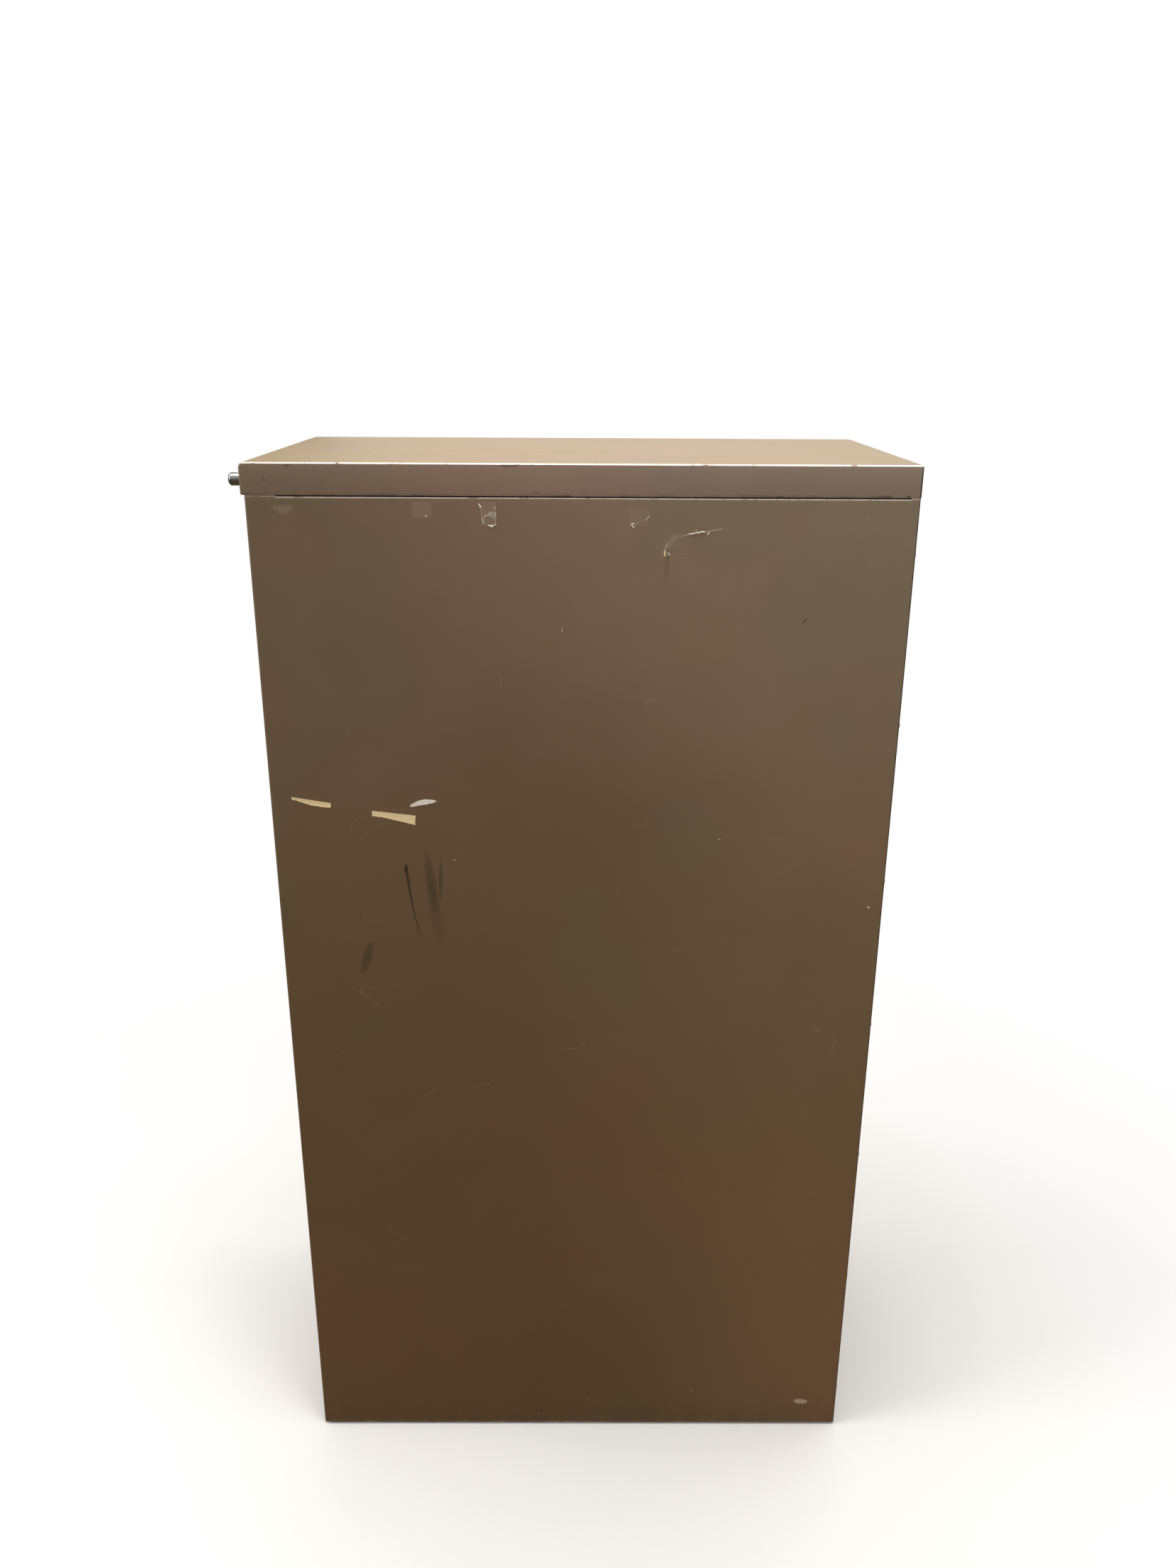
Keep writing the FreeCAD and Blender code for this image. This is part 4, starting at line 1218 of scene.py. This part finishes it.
class Studio:
    """The plain floor, the soft lamps and the camera of the photograph."""

    lamps = (Lamp("ceiling_lamp", (0.1, 0.2, 3.5), (0.0, 0.0, 1.3), 2.8, 104.0),
             Lamp("side_lamp", (2.3, 2.1, 2.2), (0.1, 0.3, 1.0), 1.6, 27.0),
             Lamp("front_lamp", (0.7, -3.2, 2.1), (0.0, -0.3, 0.7), 2.0, 80.0),
             Lamp("rear_lamp", (-3.0, 0.2, 2.45), (0.0, 0.0, 1.2), 2.4, 10.0))
    warm_white: Colour = (1.0, 0.97, 0.93)
    bounce: Colour = (0.30, 0.23, 0.16)
    room_low = 0.14
    room_high = 0.42
    floor_reach = 14.0
    floor_tones = (0.80, 0.84)
    glow_span = (0.5, 1.5)

    focal_px = 1725.0
    frame_px = 2212.0
    sensor_mm = 36.0
    clip = (0.05, 60.0)
    eye = Vector((1.5161, 0.01105, 1.4389))
    ahead = Vector((-0.94134, 0.00493, -0.33742))
    right = Vector((0.00341, 0.99998, 0.00509))

    def build(self) -> None:
        """Sets up the whole studio."""
        self.build_camera()
        self.build_floor()
        self.build_lamps()
        self.build_world()
        bpy.context.scene.view_settings.view_transform = "Standard"

    def build_camera(self) -> None:
        """Places the camera where the photograph was taken from."""
        data = bpy.data.cameras.new("camera")
        data.sensor_fit = "AUTO"
        data.sensor_width = self.sensor_mm
        data.lens = self.sensor_mm * self.focal_px / self.frame_px
        data.clip_start, data.clip_end = self.clip
        camera = link_new("camera", data)
        back = -self.ahead.normalized()
        right = (self.right - back * self.right.dot(back)).normalized()
        up = back.cross(right)
        turn = Matrix((right, up, back)).transposed()
        camera.matrix_world = Matrix.Translation(self.eye) @ turn.to_4x4()
        bpy.context.scene.camera = camera

    def build_floor(self) -> None:
        """Lays a large pale floor."""
        mesh = bpy.data.meshes.new("floor")
        corners = [(x * self.floor_reach, y * self.floor_reach, 0)
                   for x, y in ((-1, -1), (1, -1), (1, 1), (-1, 1))]
        mesh.from_pydata(corners, [], [(0, 1, 2, 3)])
        floor = link_new("floor", mesh)
        material, g, shader, place = surface("pale_floor")
        seen = g.add("ShaderNodeLightPath").outputs["Is Camera Ray"]
        tone = g.fade(g.noise(place, 1.3), 0.3, 0.7, *self.floor_tones)
        g.fill(shader,
               {"Base Color": g.blend(seen, self.bounce, g.join(tone, tone, tone)),
                "Roughness": 0.9, "Specular IOR Level": 0.1})
        x, y, _ = g.split(place)
        away = g.math("SQRT", g.plus(g.times(x, x), g.times(y, y)))
        glow = g.add("ShaderNodeEmission")
        mixed = g.add("ShaderNodeMixShader",
                      {0: g.times(g.fade(away, *self.glow_span), seen), 1: shader.outputs[0],
                       2: glow.outputs[0]})
        g.fill(g.tree.nodes["Material Output"], {"Surface": mixed.outputs[0]})
        mesh.materials.append(material)

    def build_lamps(self) -> None:
        """Hangs the soft lamps: a wide one overhead and three weaker ones around."""
        for lamp in self.lamps:
            data = bpy.data.lights.new(lamp.name, "AREA")
            data.shape = "SQUARE"
            data.size = lamp.size
            data.energy = lamp.power
            data.color = self.warm_white
            hung = link_new(lamp.name, data)
            spot = Vector(lamp.spot)
            turn = (Vector(lamp.target) - spot).to_track_quat("-Z", "Y")
            hung.matrix_world = Matrix.Translation(spot) @ turn.to_matrix().to_4x4()

    def build_world(self) -> None:
        """Makes the surroundings white to the eye and softly bright on the object."""
        world = bpy.data.worlds.new("surroundings")
        bpy.context.scene.world = world
        world.use_nodes = True
        g = Graph(world.node_tree)
        background = world.node_tree.nodes["Background"]
        seen = g.add("ShaderNodeLightPath").outputs["Is Camera Ray"]
        rise = g.times(g.split(g.add("ShaderNodeNewGeometry").outputs["Incoming"])[2], -1)
        room = g.fade(rise, -0.1, 0.9, self.room_low, self.room_high)
        g.fill(background,
               {"Color": g.blend(seen, self.warm_white, (1.0, 1.0, 1.0)),
                "Strength": g.math("MAXIMUM", room, seen)})


@dataclass
class CaseShell:
    """The folded case: side panels, cap, back, base, uprights and fixed slides."""

    finishes: Finishes
    rows: Rows
    screw_radius: float = 3.2 * MM
    screw_inset: float = 7.0 * MM
    screw_margin: float = 60.0 * MM
    screw_count: int = 7
    cap_edge: float = 0.25 * MM

    def build(self) -> None:
        """Dresses every fixed sheet piece and adds the screws at the back."""
        dress(["side_panel_right"], self.finishes.side)
        dress(["side_panel_left"], self.finishes.left)
        soften("top_cap", self.finishes.cap, self.cap_edge)
        dress(["back_panel"], self.finishes.back)
        dress(["base_pan"], self.finishes.base)
        dress(["slide_uprights"], self.finishes.inner)
        dress(["case_slides"], self.finishes.zinc)
        dress(["levelling_glides"], self.finishes.glide)
        self.build_screws()
        LOG.info("case dressed")

    def build_screws(self) -> None:
        """Sets a column of screws down each rear flange."""
        low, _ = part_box("side_panel_left")
        _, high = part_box("side_panel_right")
        start = (low.x + self.screw_inset, high.y, low.z + self.screw_margin)
        across = high.x - low.x - 2 * self.screw_inset
        rise = (high.z - low.z - 2 * self.screw_margin) / (self.screw_count - 1)
        head = Heads.screw(Facing.BACK, self.screw_radius)
        mesh = self.rows.lay("back_screws", head, self.finishes.zinc, Start=start,
                             Column_Step=(across, 0.0, 0.0), Columns=2, Row_Step=(0.0, 0.0, rise),
                             Rows=self.screw_count, Spin_Axis=tuple(Facing.BACK.value), Seed=4)
        finish_piece("back_screws", mesh, self.finishes.zinc, "case")


@dataclass
class TapeScrap:
    """A torn scrap of tape that lies on the right side panel.

    Its outline is in millimetres from the panel's front and top edges.
    """

    name: str
    outline: tuple[Flat, ...]
    torn: tuple[int, ...]
    seed: int
    thickness: float = 0.16
    lift: float = 0.5
    tear: float = 0.45
    cut: float = 0.06
    step: float = 1.1

    def build(self, low: Vector, high: Vector, material: bpy.types.Material) -> None:
        """Builds the scrap on the panel.

        Args:
            low: the panel's lowest corner.
            high: the panel's highest corner.
            material: the tape's finish.
        """
        dice = random.Random(self.seed)
        edge: list[Flat] = []
        count = len(self.outline)
        for index, start in enumerate(self.outline):
            end = self.outline[(index + 1) % count]
            length = math.dist(start, end)
            steps = max(2, round(length / self.step))
            for step in range(steps):
                share = step / steps
                spread = self.tear if index in self.torn else self.cut
                jitter = dice.uniform(-spread, spread) if step else 0.0
                nx, ny = (end[1] - start[1]) / length, (start[0] - end[0]) / length
                edge.append((start[0] + (end[0] - start[0]) * share + nx * jitter,
                             start[1] + (end[1] - start[1]) * share + ny * jitter))
        work = bmesh.new()
        under = [self.vertex(work, low, high, u, v, 0.0) for u, v in edge]
        over = [self.vertex(work, low, high, u, v, self.thickness + dice.uniform(0.0, self.lift))
                for u, v in edge]
        bmesh.ops.triangulate(work, faces=loft(work, [under, over]), ngon_method="EAR_CLIP")
        mesh = mesh_from(self.name, work)
        finish_piece(self.name, mesh, material, "case")
        LOG.info("%s laid on the side", self.name)

    @staticmethod
    def vertex(work: bmesh.types.BMesh, low: Vector, high: Vector, from_front: float,
               from_top: float, out: float) -> bmesh.types.BMVert:
        """A vertex at a place on the panel, standing out by so many millimetres."""
        return work.verts.new((high.x + out * MM, low.y + from_front * MM, high.z - from_top * MM))


@dataclass(frozen=True)
class TapeCurl:
    """A thin torn or curled edge of tape that stands up from the right side panel.

    Its path holds places in millimetres from the panel's front and top edges, each with the
    curl's width there.
    """

    name: str
    path: tuple[Point, ...]
    seed: int
    thickness: float = 0.14
    lift: float = 0.55
    ragged: float = 0.22
    step: float = 0.6
    least_lift: float = 0.3
    full_width: float = 1.5

    def places(self) -> list[Point]:
        """The path with places added between its own.

        Returns:
            The places, each with the curl's width there.
        """
        found: list[Point] = []
        for start, end in zip(self.path, self.path[1:]):
            steps = max(1, round(math.dist(start[:2], end[:2]) / self.step))
            found += [tuple(a + (b - a) * index / steps for a, b in zip(start, end))
                      for index in range(steps)]
        return found + [self.path[-1]]

    def build(self, low: Vector, high: Vector, material: bpy.types.Material) -> None:
        """Builds the curl on the panel.

        Args:
            low: the panel's lowest corner.
            high: the panel's highest corner.
            material: the tape's finish.
        """
        dice = random.Random(self.seed)
        places = self.places()
        work = bmesh.new()
        rings = []
        for index, (u, v, width) in enumerate(places):
            before, after = places[max(index - 1, 0)], places[min(index + 1, len(places) - 1)]
            length = math.dist(before[:2], after[:2])
            side = ((before[1] - after[1]) / length, (after[0] - before[0]) / length)
            left, right = (width / 2 * (1 + dice.uniform(-self.ragged, self.ragged))
                           for _ in range(2))
            rise = self.lift * min(width, self.full_width)
            crest = self.thickness + dice.uniform(self.least_lift, 1.0) * rise
            section = ((left, 0.0), (-right, 0.0), (-right, self.thickness), (0.0, crest),
                       (left, self.thickness))
            rings.append([TapeScrap.vertex(work, low, high, u + side[0] * offset,
                                           v + side[1] * offset, out) for offset, out in section])
        loft(work, rings)
        mesh = mesh_from(self.name, work)
        finish_piece(self.name, mesh, material, "case")
        LOG.info("%s laid on the side", self.name)


class TapeRemains:
    """All the scraps and curls of tape that the photograph shows on the right side."""

    masking = (
        TapeScrap("masking_tape_front",
                  ((24.6, 341.8), (69.6, 349.2), (69.2, 354.0), (66.0, 354.4), (45.5, 351.2),
                   (30.5, 346.0), (24.8, 344.6)), (3, 4, 5), 3),
        TapeScrap("masking_tape_middle",
                  ((116.4, 358.4), (167.0, 364.2), (165.8, 375.9), (159.8, 373.2), (148.2, 370.8),
                   (141.0, 368.6), (135.2, 366.5), (126.5, 365.8), (116.6, 365.1)),
                  (2, 3, 4, 5, 6, 7), 5))
    # Clear-tape pieces whose white finish is a painted highlight of their lifted edges.
    white = (
        TapeScrap("tape_sliver",
                  ((161.1, 351.2), (163.9, 349.4), (171.1, 345.4), (178.4, 344.0), (187.8, 344.6),
                   (192.4, 346.2), (187.8, 348.1), (179.8, 350.0), (171.1, 350.4), (165.4, 352.8),
                   (161.7, 353.2)), (1, 2, 6, 7, 8), 7, tear=0.25),
        TapeCurl("patch_curl_top",
                 ((248.7, 7.7, 0.9), (249.5, 9.1, 1.0), (250.5, 10.1, 1.0), (250.9, 11.1, 1.6),
                  (250.2, 11.8, 1.4)), 11),
        TapeCurl("patch_flap_low",
                 ((258.2, 30.8, 0.2), (260.0, 31.0, 0.9), (261.7, 31.3, 1.7), (263.3, 31.7, 2.4),
                  (263.8, 31.9, 1.4)), 13),
        TapeCurl("scrap_hook_upper", ((414.8, 27.7, 1.4), (413.4, 28.7, 0.9), (411.4, 29.5, 1.0)),
                 17),
        TapeCurl("scrap_hook_lower", ((411.6, 29.3, 0.8), (413.1, 30.4, 0.8), (414.5, 32.2, 1.5)),
                 19),
        TapeCurl("long_curl_front", ((474.1, 38.9, 0.9), (477.2, 38.6, 1.1), (480.5, 37.9, 0.8)),
                 23),
        TapeCurl("long_curl_middle",
                 ((483.3, 38.0, 1.4), (485.5, 37.1, 1.2), (488.1, 36.4, 1.3), (490.9, 36.6, 1.2)),
                 29),
        TapeCurl("long_curl_fleck", ((496.1, 36.6, 0.5), (495.2, 38.1, 0.8), (493.7, 39.6, 0.8)),
                 31))
    film = (
        TapeCurl("patch_edge_front",
                 ((251.2, 12.8, 0.35), (251.7, 16.6, 0.4), (252.3, 20.2, 0.45),
                  (253.1, 22.3, 0.6)), 37, lift=0.1),
        TapeCurl("patch_edge_corner",
                 ((252.1, 22.7, 1.0), (253.0, 24.5, 1.1), (253.4, 26.8, 1.2), (253.9, 28.4, 1.2),
                  (255.1, 29.5, 0.5)), 41),
        TapeCurl("patch_edge_low",
                 ((264.1, 30.3, 1.0), (265.6, 30.4, 1.3), (266.8, 29.8, 1.2), (267.2, 29.0, 0.8)),
                 43),
        TapeCurl("patch_edge_top", ((266.7, 10.5, 0.4), (266.4, 12.1, 1.0), (265.7, 14.0, 0.8)),
                 47),
        TapeCurl("patch_edge_rear",
                 ((265.2, 15.9, 0.7), (266.3, 17.2, 1.0), (266.6, 18.9, 0.9), (266.3, 21.3, 0.6),
                  (266.4, 23.7, 0.4), (266.7, 28.7, 0.4)), 53, lift=0.2),
        TapeCurl("patch_crease",
                 ((255.0, 23.0, 0.6), (255.2, 21.4, 0.9), (256.2, 20.3, 1.2), (258.4, 20.4, 0.8),
                  (260.3, 19.6, 0.8), (262.5, 17.4, 1.2)), 59, lift=0.2),
        TapeCurl("scrap_curl_side", ((427.4, 24.2, 0.7), (429.2, 22.3, 0.8), (431.0, 20.3, 1.2)),
                 61),
        TapeCurl("long_curl_start", ((466.8, 41.1, 0.3), (470.9, 40.1, 0.5), (474.1, 38.9, 0.7)),
                 67, lift=0.2),
        TapeCurl("long_curl_join", ((480.5, 37.9, 0.9), (483.3, 38.0, 1.6)), 71),
        TapeCurl("long_curl_end",
                 ((490.9, 36.6, 0.8), (496.7, 35.6, 0.5), (503.8, 34.5, 0.5), (510.3, 33.0, 0.3)),
                 73, lift=0.2),
        TapeCurl("long_curl_spur", ((481.3, 34.2, 0.7), (481.8, 36.2, 1.1), (482.6, 38.0, 1.2)),
                 79),
        TapeCurl("tail_rim",
                 ((451.8, 47.9, 0.4), (450.4, 51.4, 0.7), (449.1, 54.9, 0.9), (448.5, 57.1, 1.0)),
                 83, lift=0.2),
        TapeCurl("tail_flap", ((451.6, 58.2, 1.0), (452.5, 60.0, 2.4), (454.1, 61.6, 0.9)), 89,
                 lift=0.1))
    amber = (
        TapeCurl("tail_tip", ((448.3, 57.1, 1.7), (448.5, 59.5, 2.2), (449.1, 62.7, 1.7)), 97),)

    def __init__(self, finishes: Finishes) -> None:
        """Keeps the finishes."""
        self.finishes = finishes

    def build(self) -> None:
        """Lays every scrap and curl."""
        low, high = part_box("side_panel_right")
        for scraps, material in ((self.masking, self.finishes.tape),
                                 (self.white, self.finishes.white_highlight_tape),
                                 (self.film, self.finishes.film_tape),
                                 (self.amber, self.finishes.amber_tape)):
            for scrap in scraps:
                scrap.build(low, high, material)


@dataclass
class PlungerLock:
    """The plunger with its bevelled tip, and the barrel it runs in."""

    finishes: Finishes
    edge: float = 0.15 * MM

    def build(self) -> None:
        """Dresses the lock's pieces."""
        soften("lock_plunger", self.finishes.chrome, self.edge)
        soften("lock_housing", self.finishes.chrome, self.edge)
        dress(["lock_bar", "lock_bar_guides"], self.finishes.zinc)
        LOG.info("lock dressed")


@dataclass
class DrawerUnit:
    """One drawer: front, tray, pull, label card, slides and followers."""

    number: int
    finishes: Finishes
    rows: Rows
    frame_width: float = 3.0 * MM
    holder_height: float = 26.0 * MM
    holder_plate: float = 1.2 * MM
    card_thickness: float = 0.35 * MM
    card_bow: float = 0.35 * MM
    card_steps: int = 12
    rivet_radius: float = 2.6 * MM
    rivet_count: int = 4
    runner_margin: float = 70.0 * MM
    web_depth: float = 13.7 * MM
    pull_edge: float = 0.3 * MM

    def build(self) -> None:
        """Dresses the drawer and adds its card and rivets."""
        n = self.number
        dress(["drawer_front_%d" % n], self.finishes.front)
        dress(["drawer_tray_%d" % n], self.finishes.tray)
        soften("drawer_pull_%d" % n, self.finishes.pull, self.pull_edge)
        dress(["middle_slides_%d" % n], self.finishes.zinc)
        dress(["follower_left_%d" % n, "follower_right_%d" % n], self.finishes.follower)
        self.build_card()
        self.build_rivets()
        LOG.info("drawer %d dressed", n)

    def build_rivets(self) -> None:
        """Rivets each runner to the tray, with the heads inside the runner's channel."""
        rail_low, rail_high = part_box("middle_slides_%d" % self.number)
        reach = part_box("drawer_tray_%d" % self.number)[1].x - self.web_depth
        start_y = rail_low.y + self.runner_margin
        step = (rail_high.y - rail_low.y - 2 * self.runner_margin) / (self.rivet_count - 1)
        height = (rail_low.z + rail_high.z) / 2
        for side, facing, x in (("right", Facing.RIGHT, reach), ("left", Facing.LEFT, -reach)):
            name = "runner_rivets_%s_%d" % (side, self.number)
            head = Heads.rivet(facing, self.rivet_radius)
            mesh = self.rows.lay(name, head, self.finishes.zinc, Start=(x, start_y, height),
                                 Column_Step=(0.0, step, 0.0), Columns=self.rivet_count,
                                 Row_Step=(0.0, 0.0, 0.0), Rows=1, Spin_Axis=tuple(facing.value),
                                 Seed=self.number)
            finish_piece(name, mesh, self.finishes.zinc, "drawer_%d" % self.number)

    def build_card(self) -> None:
        """Slips a slightly bowed card into the label holder."""
        low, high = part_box("drawer_pull_%d" % self.number)
        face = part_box("drawer_front_%d" % self.number)[0].y
        plate = face - self.holder_plate
        left, right = low.x + self.frame_width, high.x - self.frame_width
        bottom = high.z - self.holder_height + self.frame_width
        top = high.z - self.frame_width
        section = ((0.0, bottom), (0.0, top), (self.card_thickness, top),
                   (self.card_thickness, bottom))
        work = bmesh.new()
        rings = []
        for step in range(self.card_steps + 1):
            share = step / self.card_steps
            x = left + (right - left) * share
            y = plate - self.card_bow * math.sin(math.pi * share)
            rings.append([work.verts.new((x, y - depth, z)) for depth, z in section])
        loft(work, rings)
        name = "label_card_%d" % self.number
        finish_piece(name, mesh_from(name, work), self.finishes.card, "drawer_%d" % self.number)


def main() -> None:
    """Builds the studio and dresses the cabinet, one sub-assembly after another."""
    logging.basicConfig(level=logging.INFO, format="%(name)s: %(message)s")
    Studio().build()
    finishes = Finishes(Effects())
    rows = Rows()
    CaseShell(finishes, rows).build()
    TapeRemains(finishes).build()
    PlungerLock(finishes).build()
    for number in range(1, DRAWERS + 1):
        DrawerUnit(number, finishes, rows).build()


if __name__ == "__main__":
    main()
